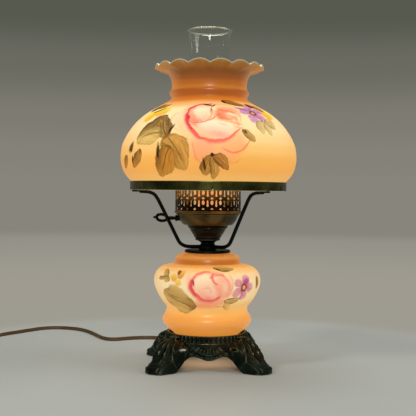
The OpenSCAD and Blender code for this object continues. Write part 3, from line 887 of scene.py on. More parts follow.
def painted_glass(name, low, high, tones, clusters, satin, rim=False):
    """Painted milk glass, lit from inside and satin between two levels. Its back repeats its front."""

    def recipe(net, strip, outer, run):
        x, y, z = net.place()
        r = net.far(x, y)
        azimuth = net.math("WRAP", net.math("ARCTAN2", x, -y), math.pi / 2, -math.pi / 2)
        rise = net.attribute("rise")
        cloud = net.noise(14, 3)
        level = (z - low) / (high - low) + (cloud - 0.5) * 0.035
        colour = net.ramp(level, tones)
        side = net.step(abs(azimuth), 0.75, 1.45) * 0.35
        colour = net.blend(side, colour, srgb("efa862"))
        for around, up, strokes in touching(clusters, *strip, outer, run):
            across, along = (azimuth - math.radians(around)) * r, rise - up
            at = net.vector(across / 24, along / 24, around)
            across = across + (net.noise(1.0, 2, at=at) - 0.5) * 9
            along = along + (net.noise(1.3, 2, at=at) - 0.5) * 9
            for brush, values in strokes:
                colour = brush.paint(net, colour, across, along, *values)
        if rim:
            top = run[-1]
            streak = net.noise(1.0, 3, 0.6, at=net.vector(azimuth * 9, z / 30))
            worn = net.step(rise, top - 22, top) * net.step(streak, 0.4, 0.75) * 0.45
            colour = net.blend(worn, colour, srgb("9a8a5e"))
            colour = net.blend(net.step(rise, top - 0.2, top + 0.2), colour, srgb("a89c7c"))
        dull = net.step(level, satin[0] - 0.02, satin[0] + 0.04)
        dull = dull * net.step(level, satin[1] + 0.02, satin[1] - 0.04)
        return {
            "Base Color": net.blend(0.55, colour, (0, 0, 0)),
            "Emission Color": net.blend(0.3, colour, (0, 0, 0)),
            "Emission Strength": 1.0,
            "Roughness": 0.36 + dull * 0.28,
            "Specular IOR Level": 0.5 - dull * 0.3,
            "Coat Weight": 0.12 - dull * 0.12,
            "Coat Roughness": 0.22,
        }

    def strip_paint(left, right, outer, run):
        return material(f"{name}_{left}", lambda net: recipe(net, (left, right), outer, run), glows=True)

    return strip_paint


def glowing_inside(name, tone):
    def recipe(net):
        cloud = net.noise(20, 3)
        return {
            "Base Color": srgb("e8dcc0"),
            "Emission Color": net.blend(cloud, srgb(tone), srgb("ffe9bd")),
            "Emission Strength": 0.8,
            "Roughness": 0.4,
        }

    return material(name, recipe, glows=True)


SHADE_LINE = [
    (101.5, 0), (101.5, 5), (101.5, 9.4), (103.6, 12), (107.6, 16.4), (111.8, 22.6), (114.4, 30.4),
    (115.8, 39), (115.5, 47.6), (114.2, 56.1), (111.3, 63.8), (107, 71.9), (100.8, 81), (94, 88.8),
    (85.9, 96), (76.8, 102.4), (65.2, 108.8), (55, 114.8), (50, 119.2), (50.8, 122.4), (52.3, 125.2),
    (52.1, 128.4), (50.2, 130.6), (49.6, 133), (49.5, 138), (50.4, 144), (52.4, 149),
    (55.2, 153), (59, 156.8), (64.6, 160.3), (70.4, 162.7),
]
FONT_LINE = [
    (40.5, 0), (45.8, 4.8), (54, 11.3), (58.4, 18.3), (57.8, 24.8), (54.2, 30.8), (53.6, 37.8), (59, 44.8),
    (65.2, 54.8), (69.3, 64.8), (70.4, 72.8), (68.9, 80.3), (64.6, 86.8), (57, 91.4), (48.4, 93.2),
    (43.8, 94.8), (43.4, 97.6), (42.6, 100.6), (40.8, 103.6), (37.6, 106.5), (33, 107.9), (27, 108.4),
]
GLASS_WALL = 3
GLASS_LIP = 5
SCALLOPS = 16
SCALLOP_DROP = 5
SCALLOP_TURN = math.radians(2.4)
STRIP_EDGES = [-90, -36, -12, 12, 90]


def glass_vessel(name, line, base, paint, inside, segments, shape=None, rim=1.0):
    """A turned milk glass wall. Its outside is painted in upright strips, one material each."""
    outer = [Vector((r, z + base)) for r, z in (tuple(p) for p in curve(line, 4))]
    outline = shell(outer, GLASS_WALL, GLASS_LIP + 1, rim)
    run = running_length(outer)
    count, painted = len(outline), len(run) + GLASS_LIP
    heights = run + [run[-1] + 1] * GLASS_LIP + [0] * (count - painted)
    verts, faces = lathe_data([tuple(p) for p in outline], segments, shape)
    strips = list(zip(STRIP_EDGES, STRIP_EDGES[1:]))
    materials = [paint(low, high, outer, run) for low, high in strips] + [inside]
    picks = []
    for s in range(segments):
        turn = (math.degrees(TAU * (s + 0.5) / segments) + 180) % 180 - 90
        strip = next(i for i, (low, high) in enumerate(strips) if low <= turn < high)
        picks += [strip if k < painted - 1 else len(strips) for k in range(count)]
    return add_object(name, verts, faces, materials, 60, picks, heights * segments)


def make_font():
    low = span("font_glass")[0].z
    paint = painted_glass("font_paint", low, low + 108, FONT_TONES, FONT_FLOWERS, (0.36, 0.86))
    piece = glass_vessel("font_painted", FONT_LINE, low, paint, glowing_inside("font_inside", "ffdc9a"), 240)
    settle(piece, "lamp_body", "font_milk_glass", "font_glass")


def make_shade():
    low, high = (corner.z for corner in span("shade_glass"))
    paint = painted_glass("shade_paint", low, high, SHADE_TONES, SHADE_FLOWERS, (-0.2, 0.69), rim=True)

    def ruffle(angle, k, r, z):
        """Sixteen round-topped scallops between cusps, and valleys that flare outwards."""
        part = ((angle + SCALLOP_TURN) / TAU * SCALLOPS) % 1
        near = 1 - min(part, 1 - part) * 2
        flare, drop = ease((z - low - 144) / 18), ease((z - low - 151) / 11)
        return r + 1.2 * flare * near ** 2, z - SCALLOP_DROP * drop * near ** 2

    inside = glowing_inside("shade_inside", "ffd890")
    piece = glass_vessel("shade_painted", SHADE_LINE, low, paint, inside, 320, ruffle, 0.5)
    settle(piece, "shade", "shade_milk_glass", "shade_glass")


# ---------------------------------------------------------------- metal, plastic and glass finishes


def mark_standout(piece):
    """Stores how far each point of a metal piece stands out, for rubbed edges and painted highlights to
    follow.
    """
    mesh = bmesh.new()
    mesh.from_mesh(piece.data)
    values = []
    for v in mesh.verts:
        near = [e.other_vert(v).co for e in v.link_edges]
        mean = sum(near, Vector()) / max(len(near), 1)
        size = sum((p - v.co).length for p in near) / max(len(near), 1)
        values.append((v.co - mean).dot(v.normal) / max(size, 1e-9) if near else 0.0)
    mesh.free()
    piece.data.attributes.new("standout", "FLOAT", "POINT").data.foreach_set("value", values)
    return piece


def settle_metal(piece, slot, node, body="lamp_body"):
    """Settles a metal piece with its edges marked for wear and painted highlights."""
    settle(mark_standout(piece), body, slot, node)


def aged_metal(name, dark, body, bright, rough, patch, standout=(0.03, 0.22), patina=0, brushed=False, shade_level=None):
    """Old metal: dark in its hollows, its edges rubbed bright and painted with highlights, and painted black
    as shade below a level where one is given.
    """

    def recipe(net):
        x, y, z = net.place()
        cloud = net.noise(patch, 5, 0.6, warp=0.4)
        fine = net.noise(700, 3)
        tone = net.blend(net.step(cloud, 0.38, 0.66), srgb(dark), srgb(body))
        # standing edges go bright: real rubbed metal, and also a painted highlight along the ridges
        rub_and_glint = net.step(net.attribute("standout") + (cloud - 0.5) * 0.12, *standout)
        tone = net.blend(rub_and_glint * 0.8, tone, srgb(bright))
        hollow = net.step(net.attribute("standout"), -0.02, -0.2)
        tone = net.blend(hollow * 0.6, tone, srgb("0a0b08"))
        # painted shade: black below the given level, where the light from above does not reach
        if shade_level:
            painted_shade = net.step(z + (cloud - 0.5) * 6, shade_level + 5, shade_level - 3) * net.step(z, shade_level - 13, shade_level - 11.6)
            tone = net.blend(painted_shade * 0.92, tone, srgb("050606"))
        if patina:
            tone = net.blend(net.step(net.noise(22, 3), 0.52, 0.68) * patina, tone, srgb("4e3c26"))
        lines = net.noise(1.0, 2, at=net.vector(x / 30, y / 30, z * 2.5)) if brushed else fine
        return {
            "Base Color": tone,
            "Metallic": 0.85,
            "Roughness": rough + (cloud - 0.5) * 0.22 + (fine - 0.5) * 0.08,
            "Normal": net.bump(lines, 0.3, 0.12),
        }

    return material(name, recipe)


def plain(name, low, high, rough, metallic=0.0, scale=80, glow=None):
    """A finish that varies a little between two tones."""

    def recipe(net):
        cloud = net.noise(scale, 4)
        fine = net.noise(1200, 2)
        out = {
            "Base Color": net.blend(net.step(cloud, 0.3, 0.7), srgb(low), srgb(high)),
            "Metallic": metallic,
            "Roughness": rough + (cloud - 0.5) * 0.15,
            "Normal": net.bump(fine, 0.1, 0.1),
        }
        if glow:
            out["Emission Color"] = net.blend(cloud, srgb(glow), srgb(high))
            out["Emission Strength"] = 0.8
        return out

    return material(name, recipe, glows=True)


def clear_glass(name, tint):
    def recipe(net):
        return {
            "Base Color": srgb(tint),
            "Transmission Weight": 1.0,
            "IOR": 1.45,
            "Roughness": net.step(net.noise(25, 4), 0.55, 0.8) * 0.03,
            "Normal": net.bump(net.noise(18, 2), 0.05, 0.6),
        }

    return material(name, recipe)


# Each metal's bright tone goes on its standing edges, as rubbed metal and painted highlight at once; the
# gallery's last value is the level below which it is painted black as shade.
METALS = {
    "base_bronze": ("0f1a13", "26342a", "8c8a64", 0.44, 45, (0.08, 0.36), 0.35),
    "dark_bronze": ("080a07", "12150f", "2c2a1a", 0.4, 70, (0.5, 0.9)),
    "ring_brass": ("22260f", "5e5f30", "7c7840", 0.34, 18, (0.03, 0.22), 0, True),
    "burner_brass": ("38321e", "745e36", "a08a58", 0.42, 24, (0.03, 0.22), 0, True),
    "cup_bronze": ("0e0f0a", "28221a", "4c4c3a", 0.38, 30),
    "gallery_brass": (
        "46321a", "8a602e", "a88a54", 0.42, 40, (0.2, 0.7), 0, False, span("gallery")[0].z + 14,
    ),
}
PLAINS = {
    "gallery_lit": ("9c8462", "c8b08c", 0.5, 0.2, 90, "b49872"),
    "steel_hardware": ("8b877c", "b4b0a4", 0.34, 0.9),
    "gasket_rubber": ("1c1a18", "2c2926", 0.7),
    "socket_brass": ("8a6a30", "b8924c", 0.3, 0.9),
    "black_phenolic": ("0d0c0b", "1e1c1a", 0.35),
    # painted glow: the sleeve is given orange light as though lit by the bulb beside it
    "sleeve_cream": ("d09460", "e0a874", 0.6, 0, 40, "cc7638"),
    "bulb_glass": ("fff0cc", "fff8e6", 0.3, 0, 30, "ffdf9e"),
    "bulb_cap_metal": ("9a988f", "c4c2ba", 0.28, 0.95),
    "filament_wire": ("ffc66a", "ffdf98", 0.4, 0, 200, "ffb040"),
    "night_socket_plastic": ("ded5c0", "ece4d0", 0.45),
    "plug_brown": ("2c1b10", "463020", 0.45),
    "blade_brass": ("a8823c", "cda85c", 0.26, 0.95),
}


def make_finishes():
    """Every finish by the name of its slot in the record."""
    made = {name: aged_metal(name, *values) for name, values in METALS.items()}
    made.update((name, plain(name, *values)) for name, values in PLAINS.items())
    made["cord_brown"] = cord_vinyl()
    made["chimney_glass"] = clear_glass("chimney_glass", "fbfcfa")
    made["stem_glass"] = clear_glass("stem_glass", "f4f6f2")
    return made


def dress_frame(finishes):
    """Gives every CAD piece that is still shown the finish of its slot."""
    slots = {part["node"]: part["material_slot"] for part in frame["record"]["subparts"]}
    for node, shown in frame["nodes"].items():
        finish = finishes.get(slots[node])
        if finish:
            for k in range(len(shown.data.materials)):
                shown.data.materials[k] = finish


# ---------------------------------------------------------------- cast base

LEGS = [45, 135, 225, 315]
SIDES = [0, 90, 180, 270]
FLOOR_CLEAR = 0.02
LEG_RIDGE = [
    (50, 37.4), (54, 37), (59, 37.4), (64, 37.6), (69, 36.8), (73.5, 35), (77.5, 31.6), (80.5, 27.4),
    (83.5, 22.8), (87.5, 18.4), (92, 15), (96, 12), (99.5, 9.4), (102.5, 6.8), (104.5, 4), (105.5, 2.2),
]
LEG_HALF = [(46, 21), (60, 20), (68, 19.5), (78, 18), (88, 16), (96, 15), (101, 13), (104, 9), (105.5, 5)]
SKIRT_LINE = [(50, 37), (54, 35.4), (57, 34), (60, 31), (62, 28), (63.6, 24.5), (64.6, 20), (65, 12)]
ARCH_LINE = [
    (0, 15.4), (5, 15.7), (9, 17.4), (14, 19.2), (20, 20.4), (25, 18.6), (30, 14), (36, 6.5), (42, 0),
    (90, 0),
]
SKIRT_R = 65
HOLE_TURN = 17
HOLE_HIGH = 29
HOLE_R = 2.8
RING_FLUTES = 60
RIB_FROM, RIB_TO = 67, 95
GARLANDS = [
    (1.5, [(-25, 33), (-20, 27.5), (-12, 24.5), (-4, 22.5), (4, 22.5), (12, 24.5), (20, 27.5), (25, 33)]),
    (1.2, [(-14, 34.5), (-9, 31), (0, 29), (9, 31), (14, 34.5)]),
    (1.1, [(-24, 20), (-17, 21), (-10, 19), (0, 17), (10, 19), (17, 21), (24, 20)]),
]


def lookup(table, x):
    """A value from a table, straight between its entries and flat beyond them."""
    if x <= table[0][0]:
        return table[0][1]
    for (a, low), (b, high) in zip(table, table[1:]):
        if x <= b:
            return mix(low, high, (x - a) / (b - a))
    return table[-1][1]


def from_nearest(angle, places):
    """Signed angle in degrees from the nearest of several places round the axis."""
    return min(((angle - place + 180) % 360 - 180 for place in places), key=abs)


def leg_edge(off):
    """How far out the base reaches at an angle off a leg's middle."""
    lean = abs(math.sin(math.radians(off)))
    reach = [r / 2 for r in range(211, 130, -1) if r / 2 * lean <= lookup(LEG_HALF, r / 2)]
    return max(reach + [SKIRT_R])


def base_top(r, off):
    """Height of the base's top face."""
    share = r * abs(math.sin(math.radians(off))) / lookup(LEG_HALF, r)
    leg = lookup(LEG_RIDGE, r) - 6 * min(share, 1.7) ** 2.6 if r < 106 else 0
    skirt = lookup(SKIRT_LINE, r) if r <= SKIRT_R else -20
    blend = 1 / (1 + math.exp(-(leg - skirt) / 1.2)) if abs(leg - skirt) < 30 else float(leg > skirt)
    return mix(skirt, leg, blend)


def base_relief(r, z, off, side, low):
    """Carving on the base: acanthus ribs on the legs, flutes and a rolled lip on the skirt."""
    lateral = r * math.sin(math.radians(off))
    share = lateral / lookup(LEG_HALF, r)
    on_leg = ease((1.2 - abs(share)) / 0.3) * ease((r - 53) / 5)
    down = (r - 52) * 0.8 + (46 - z) * 0.9
    veins = 1.5 - 2.3 * abs(math.cos(math.atan2(lateral, down + 14) * 19)) ** 0.5
    veins *= ease((down - 2) / 8) * ease((72 - down) / 12)
    lobes = abs(math.sin(down * 0.2 - abs(share) * 2.2)) ** 0.7 * (0.4 + 0.9 * abs(share))
    lobes *= ease((76 - down) / 12)
    knuckle = 1.0 * math.exp(-((r - 98) / 3) ** 2)
    across = SKIRT_R * math.sin(math.radians(side))
    lip = 1.6 * math.exp(-((z - low - 1.6) / 2.0) ** 2)
    fan = (0.8 - 1.4 * abs(math.cos(math.atan2(across, 44 - z) * 13)) ** 0.5) * ease((34 - z) / 6)
    drop = 1.8 * math.exp(-(across / 5) ** 2 - ((z - 27) / 5) ** 2)
    coil = noise.noise(Vector((r * 0.2, off * 0.12, z * 0.2))) * 0.7
    return mix(lip + fan + drop, veins + lobes + knuckle, on_leg) + coil


def resampled(line, count):
    """A line as that many evenly spaced points."""
    run = running_length(line)
    out, k = [], 0
    for i in range(count):
        want = run[-1] * i / (count - 1)
        while k < len(line) - 2 and run[k + 1] < want:
            k += 1
        gap = max(run[k + 1] - run[k], 1e-9)
        out.append(line[k].lerp(line[k + 1], min((want - run[k]) / gap, 1)))
    return out


def base_profile(angle, rows):
    """The base's outer line at one angle, from the ring down to its lower edge."""
    off, side = from_nearest(angle, LEGS), from_nearest(angle, SIDES)
    out_r = leg_edge(off)
    low = lookup(ARCH_LINE, out_r * abs(math.sin(math.radians(side))))
    line = []
    steps = 60
    for k in range(steps + 1):
        r = mix(51.5, out_r, k / steps)
        z = base_top(r, off)
        if z <= low + 0.2:
            break
        line.append(Vector((r, z)))
    line.append(Vector((line[-1].x + 0.1, low)))
    return resampled(line, rows), low, off, side


def smoothed_round(columns):
    """Each column of points averaged with its neighbours round the axis."""
    count = len(columns)
    return [
        [(a + 2 * b + c) / 4 for a, b, c in zip(columns[i - 1], columns[i], columns[(i + 1) % count])]
        for i in range(count)
    ]


def base_shell():
    """Legs and skirt as one draped wall with carved relief, and the drops pierced through it."""
    around, rows, wall = 640, 56, 3
    outer, lows = [], []
    for i in range(around):
        line, *low_off_side = base_profile(360 * i / around, rows)
        out = axes(360 * i / around)[0]
        outer.append([out * p.x + UP * p.y for p in line])
        lows.append(low_off_side)
    outer = smoothed_round(smoothed_round(outer))
    face, back = [], []
    for i, (low, off, side) in enumerate(lows):
        for j in range(rows):
            p = outer[i][j]
            along = outer[i][min(j + 1, rows - 1)] - outer[i][max(j - 1, 0)]
            across = outer[(i + 1) % around][j] - outer[i - 1][j]
            normal = along.cross(across)
            normal = normal.normalized() if normal.length > 1e-6 else UP
            if normal.dot(Vector((p.x, p.y, 20))) < 0:
                normal = -normal
            fade = ease(j / 4) * ease((rows - 1 - j) / 2 + 0.4)
            lifted = p + normal * base_relief(math.hypot(p.x, p.y), p.z, off, side, low) * fade
            lifted.z = max(lifted.z, FLOOR_CLEAR)
            inner = p - normal * wall
            inner.z = max(inner.z, p.z if j == rows - 1 else FLOOR_CLEAR)
            face.append(lifted)
            back.append(inner)
    gone = pierce(face, back, around, rows)
    return face + back, wall_faces(gone, around, rows)


def wall_faces(gone, around, rows):
    """Outer and inner faces of the wall, and the edges round its ends and its holes."""
    faces, size = [], around * rows
    for i in range(around):
        n = (i + 1) % around
        for j in range(rows - 1):
            if (i, j) in gone:
                continue
            quad = (i * rows + j, i * rows + j + 1, n * rows + j + 1, n * rows + j)
            faces += [quad, tuple(size + q for q in reversed(quad))]
            neighbours = [((i - 1) % around, j), (i, j + 1), (n, j), (i, j - 1)]
            for k, beyond in enumerate(neighbours):
                if beyond in gone or not 0 <= beyond[1] < rows - 1:
                    a, b = quad[k], quad[(k + 1) % 4]
                    faces.append((b, a, size + a, size + b))
    return faces


def pierce(face, back, around, rows):
    """Draws the grid to round holes beside the legs and names the cells inside them."""
    gone = set()
    for middle in [leg + way * HOLE_TURN for leg in LEGS for way in (-1, 1)]:
        out, left = axes(middle)

        def place(p):
            return Vector((p.dot(left), p.z - HOLE_HIGH))

        for i in range(around):
            if abs(from_nearest(360 * i / around, [middle])) > 8:
                continue
            for points in (face, back):
                for k in range(i * rows, i * rows + rows):
                    spot = place(points[k])
                    if points[k].dot(out) > 40 and abs(spot.length - HOLE_R) < 0.5:
                        spot *= HOLE_R / spot.length - 1
                        points[k] += left * spot.x + UP * spot.y
            n = (i + 1) % around
            for j in range(rows - 1):
                corners = [face[q + j] for q in (i * rows, i * rows + 1, n * rows + 1, n * rows)]
                if all(p.dot(out) > 40 and place(p).length < HOLE_R + 0.05 for p in corners):
                    gone.add((i, j))
    return gone


def fluted_ring():
    """The ring round the foot of the glass, with upright flutes and a bead above."""
    line = [
        (46, 31), (54.4, 31), (55.8, 33.6), (55.8, 34.8), (55, 35.6), (54.6, 36.4), (54.2, 38), (53.8, 40),
        (53.4, 42), (53.2, 43), (52.4, 43.9), (51.4, 44.2), (50, 43.6), (50, 39), (46, 38),
    ]

    def flute(angle, k, r, z):
        if 5 <= k <= 9:
            r += 0.8 - 1.5 * abs(math.cos(angle * RING_FLUTES / 2)) ** 0.5
        return r, z

    return lathe_data(line, 600, flute)


def seat_plate():
    """The plate under the glass, with its hole for the pipe."""
    return lathe_data([(5, 34), (47, 34), (47, 38), (5, 38)], 96)


def scroll(leg, centre_r, centre_z, radius, wide, thick, start, turns):
    """A curled scroll standing in the plane of a leg."""
    out, left = axes(leg)
    path, steps = [], 36
    for k in range(steps + 1):
        angle = math.radians(start) + TAU * turns * k / steps
        size = radius * (1 - 0.82 * k / steps)
        path.append(out * (centre_r + size * math.cos(angle)) + UP * (centre_z + size * math.sin(angle)))
    return sweep_data(path, ellipse(thick, wide, 16), left, lambda k: (1, 1 - 0.35 * k / steps, 0))


def garland(side, thick, points):
    """A rope on the skirt between two legs; points are (across, height) on its face."""
    out, left = axes(side)
    path = []
    for x, z in (tuple(p) for p in curve(points, 6)):
        r = next((r / 4 for r in range(212, 262) if lookup(SKIRT_LINE, r / 4) <= z), SKIRT_R)
        reach = math.sqrt(max((r + 0.9) ** 2 - x * x, 1))
        path.append(out * reach + left * x + UP * z)
    return tapered_rod(path, thick, 0.45)


def leaf_rib(leg, across):
    """A raised vein that runs down a leg beside its middle."""
    out, left = axes(leg)
    path, steps = [], 22
    for k in range(steps + 1):
        r = mix(RIB_FROM, RIB_TO, k / steps)
        x = across * lookup(LEG_HALF, r) * (0.35 + 0.65 * math.sin(math.pi * (0.15 + 0.7 * k / steps)))
        z = base_top(r, math.degrees(math.asin(x / r))) + 0.5
        path.append(out * math.sqrt(r * r - x * x) + left * x + UP * z)
    return tapered_rod(path, 0.75, 0.4)


def make_base(finish):
    parts = [base_shell(), fluted_ring(), seat_plate()]
    for leg in LEGS:
        parts.append(scroll(leg, 61.5, 38, 4.4, 6, 1.4, 60, 1.6))
        parts.append(scroll(leg, 100, 4.9, 3.3, 11, 1.2, 100, -1.3))
        parts += [leaf_rib(leg, across) for across in (-0.92, -0.5, 0.0, 0.5, 0.92)]
    parts += [garland(side, *rope) for side in SIDES for rope in GARLANDS]
    settle_metal(add_object("cast_base_carved", *joined(parts), [finish], 50), "base_bronze", "cast_base")


# ---------------------------------------------------------------- burner, gallery, ring and arms

GALLERY_R = 43.4
GALLERY_CELLS = 48
CELL_SIDE = 6
RING_DIMPLES = [30, 90, 150, 210, 270, 330]
RING_SEAM = [254]


def oval_hole(half_wide, half_high, lift=0.0):
    return lambda a: (half_wide * math.cos(a), half_high * math.sin(a) + lift)


def keyhole(half_wide, half_high):
    """A slot that is narrow from its middle up and round at its foot."""

    def place(a):
        high = math.sin(a)
        share = 0.55 + 0.45 * ease((-high - 0.25) / 0.4) + 0.25 * ease((high - 0.4) / 0.4)
        return half_wide * math.cos(a) * share, half_high * high

    return place


def cell(left, right, low, high, hole):
    """One cell of a pierced sheet, flat: a rectangle with a hole, as matching rings of points."""
    n = CELL_SIDE
    mid_x, mid_z = (left + right) / 2, (low + high) / 2
    corners = [(right, mid_z), (right, high), (left, high), (left, low), (right, low), (right, mid_z)]
    edge = []
    for (x, z), (to_x, to_z), count in zip(corners, corners[1:], (n // 2, n, n, n, n // 2)):
        edge += [(mix(x, to_x, k / count), mix(z, to_z, k / count)) for k in range(count)]
    rim = []
    for k in range(len(edge)):
        dx, dz = hole(TAU * k / len(edge)) if hole else (0, 0)
        rim.append((mid_x + dx, mid_z + dz))
    return edge, rim


def pierced_band(rows, radius, thick):
    """A round sheet of cells, with walls inside its holes and along its top and bottom."""
    verts, faces = [], []

    def put(points, r):
        first = len(verts)
        verts.extend((r * math.cos(x / radius), r * math.sin(x / radius), z) for x, z in points)
        return range(first, len(verts))

    pitch = TAU * radius / GALLERY_CELLS
    bottom, top = rows[0][0], rows[-1][1]
    for low, high, holes in rows:
        for c in range(GALLERY_CELLS):
            hole = holes[c % len(holes)]
            edge, rim = cell(c * pitch, (c + 1) * pitch, low, high, hole)
            out_edge, in_edge = put(edge, radius), put(edge, radius - thick)
            out_rim, in_rim = put(rim, radius), put(rim, radius - thick)
            for k in range(len(edge)):
                m = (k + 1) % len(edge)
                faces.append((out_edge[k], out_edge[m], out_rim[m], out_rim[k]))
                faces.append((in_edge[m], in_edge[k], in_rim[k], in_rim[m]))
                if hole:
                    faces.append((out_rim[k], out_rim[m], in_rim[m], in_rim[k]))
                if {edge[k][1], edge[m][1]} in ({bottom}, {top}):
                    faces.append((out_edge[m], out_edge[k], in_edge[k], in_edge[m]))
    return verts, faces


def make_gallery(finish, lit):
    """Pierced gallery. Its inside faces catch the bulb's light."""
    low = span("gallery")[0].z
    key, oval, dot = keyhole(2, 4.2), oval_hole(1.95, 2.9, 1.1), oval_hole(1.8, 1.25, 0.2)
    rows = [
        (1, 7, [dot, None]), (7, 16, [oval, key]), (16, 19.8, [dot, None]),
        (19.8, 28.8, [oval, key]), (28.8, 32.6, [dot, None]), (32.6, 37.1, [None]),
    ]
    foot = [(18, 0), (43.2, 0), (44.2, -0.1), (44.7, 0.5), (44.2, 1.2), (43.4, 1.4), (42.4, 1), (18, 1)]
    rim = [(42.5, 36.1), (43.5, 35.9), (44, 36.6), (43.5, 37.1), (42.6, 37.1)]
    sheet = pierced_band([(low + a, low + b, holes) for a, b, holes in rows], GALLERY_R, 0.8)
    verts, faces = joined([sheet] + [lathe_data(raised(line, low), 144) for line in (foot, rim)])
    inner = GALLERY_R - 0.7
    picks = [int(all(math.hypot(verts[k][0], verts[k][1]) < inner for k in face)) for face in faces]
    piece = add_object("gallery_pierced", verts, faces, [finish, lit], 40, picks)
    settle_metal(piece, "gallery_brass", "gallery")


BOWL_LINE = [
    (20, 0.2), (32, 0.2), (32.8, 0.8), (33.6, 1.4), (34.4, 2.4), (35.6, 3.8), (36.8, 5.4), (37.9, 7.2),
    (38.8, 9.2), (39.6, 11.4), (40.6, 13), (41, 13.6), (41.6, 13.8), (42, 14.4), (41.8, 15), (42.8, 15.4),
    (44, 15.9), (44.3, 16.6), (43.8, 17.2),
]
CUP_LINE = [
    (5.4, 0.1), (15.6, 0.1), (16.3, 0.6), (16.5, 2), (16.3, 3.6), (17.4, 4.2), (18.2, 4.6), (18.2, 5.6),
    (18.4, 6.4), (20.2, 8.8), (22.6, 12.6), (23.6, 14.6), (24.2, 16), (25.4, 16.4), (26, 16.9), (25.9, 17.8),
    (25.6, 18.3), (26.6, 18.8), (27.2, 19.3), (27, 20.3),
]


def make_burner(bowl_finish, cup_finish):
    """Bowl and stepped cup, each spun from 1 mm sheet."""
    for name, line, finish, node in (
        ("bowl_spun", BOWL_LINE, bowl_finish, "burner_bowl"),
        ("cup_spun", CUP_LINE, cup_finish, "burner_lower_cup"),
    ):
        outer = [Vector(p) for p in raised(line, span(node)[0].z)]
        settle_metal(lathe(name, shell(outer, 1, 3), finish, 120, sharp=30), "burner_brass", node)


def make_ring(finish):
    """The shade ring, with its seam and the dimples that hold the shade."""
    low, high = (corner.z for corner in span("shade_ring"))
    line = [
        (89.6, low), (102.4, low), (103.1, low + 0.3), (103.3, low + 1), (103.2, low + 2),
        (103.2, mix(low, high, 0.4)), (103.2, mix(low, high, 0.6)), (103.2, high - 2),
        (103.3, high - 1), (103.1, high - 0.3), (102.6, high), (102.2, high - 0.2), (102.2, low + 1.2),
        (89.6, low + 1.2),
    ]

    def off(angle, places):
        """Distance along the ring from the nearest of several places on it."""
        return math.radians(from_nearest(math.degrees(angle), places)) * 103

    def dimple(angle, k, r, z):
        if 3 <= k <= 6:
            deep = 0.9 if 4 <= k <= 5 else 0.27
            r -= deep * math.exp(-(off(angle, RING_DIMPLES) / 1.6) ** 2)
            r -= 0.5 * math.exp(-(off(angle, RING_SEAM) / 0.5) ** 2)
        return r, z

    settle_metal(lathe("ring_rolled", line, finish, 720, dimple, 40), "ring_brass", "shade_ring")


ARM_ROUTE = [
    (7, 4.2), (20, 4.2), (28, 4.6), (33.8, 6.2), (38.4, 9.6), (42, 15.4), (51, 32.8), (59.2, 48.6),
    (64.8, 59.2), (69.4, 67.6), (74.2, 73.2), (81, 75.8), (88, 76.4), (93, 76.6),
]


def pad_outline():
    """A rounded rectangle under the ring, as (outward, leftward) pairs."""
    turns = [TAU * k / 24 for k in range(24)]
    soft = [[math.copysign(abs(v) ** 0.6, v) for v in (math.cos(a), math.sin(a))] for a in turns]
    return [(96 + 7 * x, 3 * y) for x, y in soft]


def make_arms(finish):
    """Three bent arms, each flattened into a pad under the shade ring."""
    base = span("arm_hub")[0].z
    pad = pad_outline()
    n = len(pad)
    for node, azimuth in (("shade_arm_left", 195), ("shade_arm_right", 315), ("shade_arm_rear", 75)):
        out, left = axes(azimuth)
        path = [out * p.x + UP * (base + p.y) for p in curve(ARM_ROUTE, 6)]
        rod = sweep_data(path, ellipse(2.4, 2.4), left)
        plate = [out * x + left * y + UP * (base + h) for h in (75.9, 78.15) for x, y in pad]
        plate_faces = [tuple(reversed(range(n))), tuple(range(n, 2 * n))] + grid_faces(2, n, False)
        verts, faces = joined([rod, (plate, plate_faces)])
        settle_metal(add_object(f"{node}_bent", verts, faces, [finish], 40), "dark_bronze", node)


CAP_LINE = [
    (5.2, 4), (25, 4), (25, 0), (26, 0), (26, 4), (29, 4.5), (30, 4.8), (30.4, 5.4), (30.3, 6.6), (29.8, 7.6),
    (28.8, 8.2), (27, 8.3), (24, 8.1), (5.2, 8.1),
]
NECK_LINE = [
    (5.2, 0), (9.4, 0), (10, 0.4), (10, 1.2), (9.3, 1.8), (9, 2.6), (9.2, 3.4), (10, 4.2), (11.6, 4.9),
    (12.2, 5.5), (11.8, 6.1), (5.2, 6.1),
]


def make_cap_and_neck(finish):
    for name, line, node, segments in (
        ("cap_turned", CAP_LINE, "font_cap", 144), ("neck_turned", NECK_LINE, "burner_neck", 96),
    ):
        turned = lathe(name, raised(line, span(node)[0].z), finish, segments)
        settle_metal(turned, "dark_bronze", node)


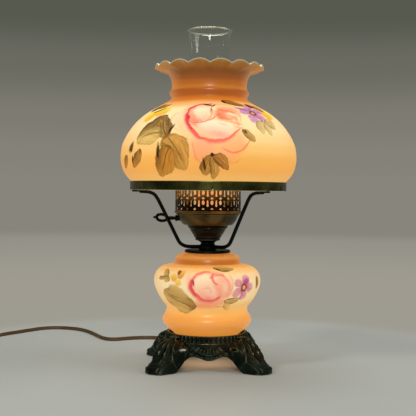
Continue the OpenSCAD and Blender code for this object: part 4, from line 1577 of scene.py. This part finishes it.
def make_key(finish):
    """Loop key on its shaft: a bent ring of wire with a bead at its tip."""
    low, high = span("key_loop")
    z, half = (low.z + high.z) / 2, (high.z - low.z) / 2
    tube, thick, left = 2, 1.6, low.x + 4
    centre, reach = (high.x + left) / 2, (high.x - left) / 2 - tube
    ring = []
    for k in range(48):
        a = TAU * k / 48
        x = centre + reach * math.cos(a)
        lift = (high.x - x) * 0.08 - 0.3
        ring.append(Vector((x, 0, z + lift + (half - tube + 0.6) * math.sin(a) * (1 - 0.12 * math.cos(a)))))
    wire = sweep_data(ring, ellipse(tube, thick), (0, 1, 0), closed=True)
    half_turns = [math.pi * k / 12 for k in range(13)]
    ball, bead_faces = lathe_data([(1.7 * math.sin(a) + 0.001, 1.7 * math.cos(a)) for a in half_turns], 20)
    bead = [Vector(v) + Vector((low.x + 3, 0, z + 1)) for v in ball]
    sleeve = [(1.2, 0), (2.4, 0.3), (2.7, 1.5), (2.2, 2.4), (2.6, 3.4), (2.6, 5.6), (1.2, 6)]
    upright, collar_faces = lathe_data(sleeve, 24)
    collar = [Vector((high.x - 1 + c, a, z + b)) for a, b, c in upright]
    verts, faces = joined([wire, (bead, bead_faces), (collar, collar_faces)])
    loop = add_object("key_loop_wire", verts, faces, [finish], 60)
    settle_metal(loop, "dark_bronze", "key_loop", "switch_key")


CHIMNEY_LINE = [
    (38, 0), (38, 5.5), (38, 11.1), (38.5, 23.1), (41, 39.1), (43.3, 57.1), (42, 77.1), (37, 102.1),
    (31.5, 127.1), (28.3, 149.1), (27.2, 172.1), (27.2, 202.1), (28.1, 225.1),
]


def make_chimney(finish):
    """Clear chimney with a bulged waist and a fire-polished lip."""
    low, high = (corner.z for corner in span("chimney"))
    outer = curve(raised(CHIMNEY_LINE + [(29.2, high - low - 1.4)], low), 6)
    wall = [tuple(p) for p in shell(outer, 1.3, 8)]
    lip = [(28.9 + x, high - 1.3 + z) for x, z in ellipse(1.15, 1.15, 16)]
    verts, faces = joined([lathe_data(outline, 128) for outline in (wall, lip)])
    settle(add_object("chimney_blown", verts, faces, [finish], 70), "chimney", "chimney_glass", "chimney")


make_camera()
make_studio()
finishes = make_finishes()
make_cord(finishes["cord_brown"])
make_font()
make_shade()
make_base(finishes["base_bronze"])
make_gallery(finishes["gallery_brass"], finishes["gallery_lit"])
make_burner(finishes["burner_brass"], finishes["cup_bronze"])
make_ring(finishes["ring_brass"])
make_arms(finishes["dark_bronze"])
make_cap_and_neck(finishes["dark_bronze"])
make_key(finishes["dark_bronze"])
make_chimney(finishes["chimney_glass"])
dress_frame(finishes)
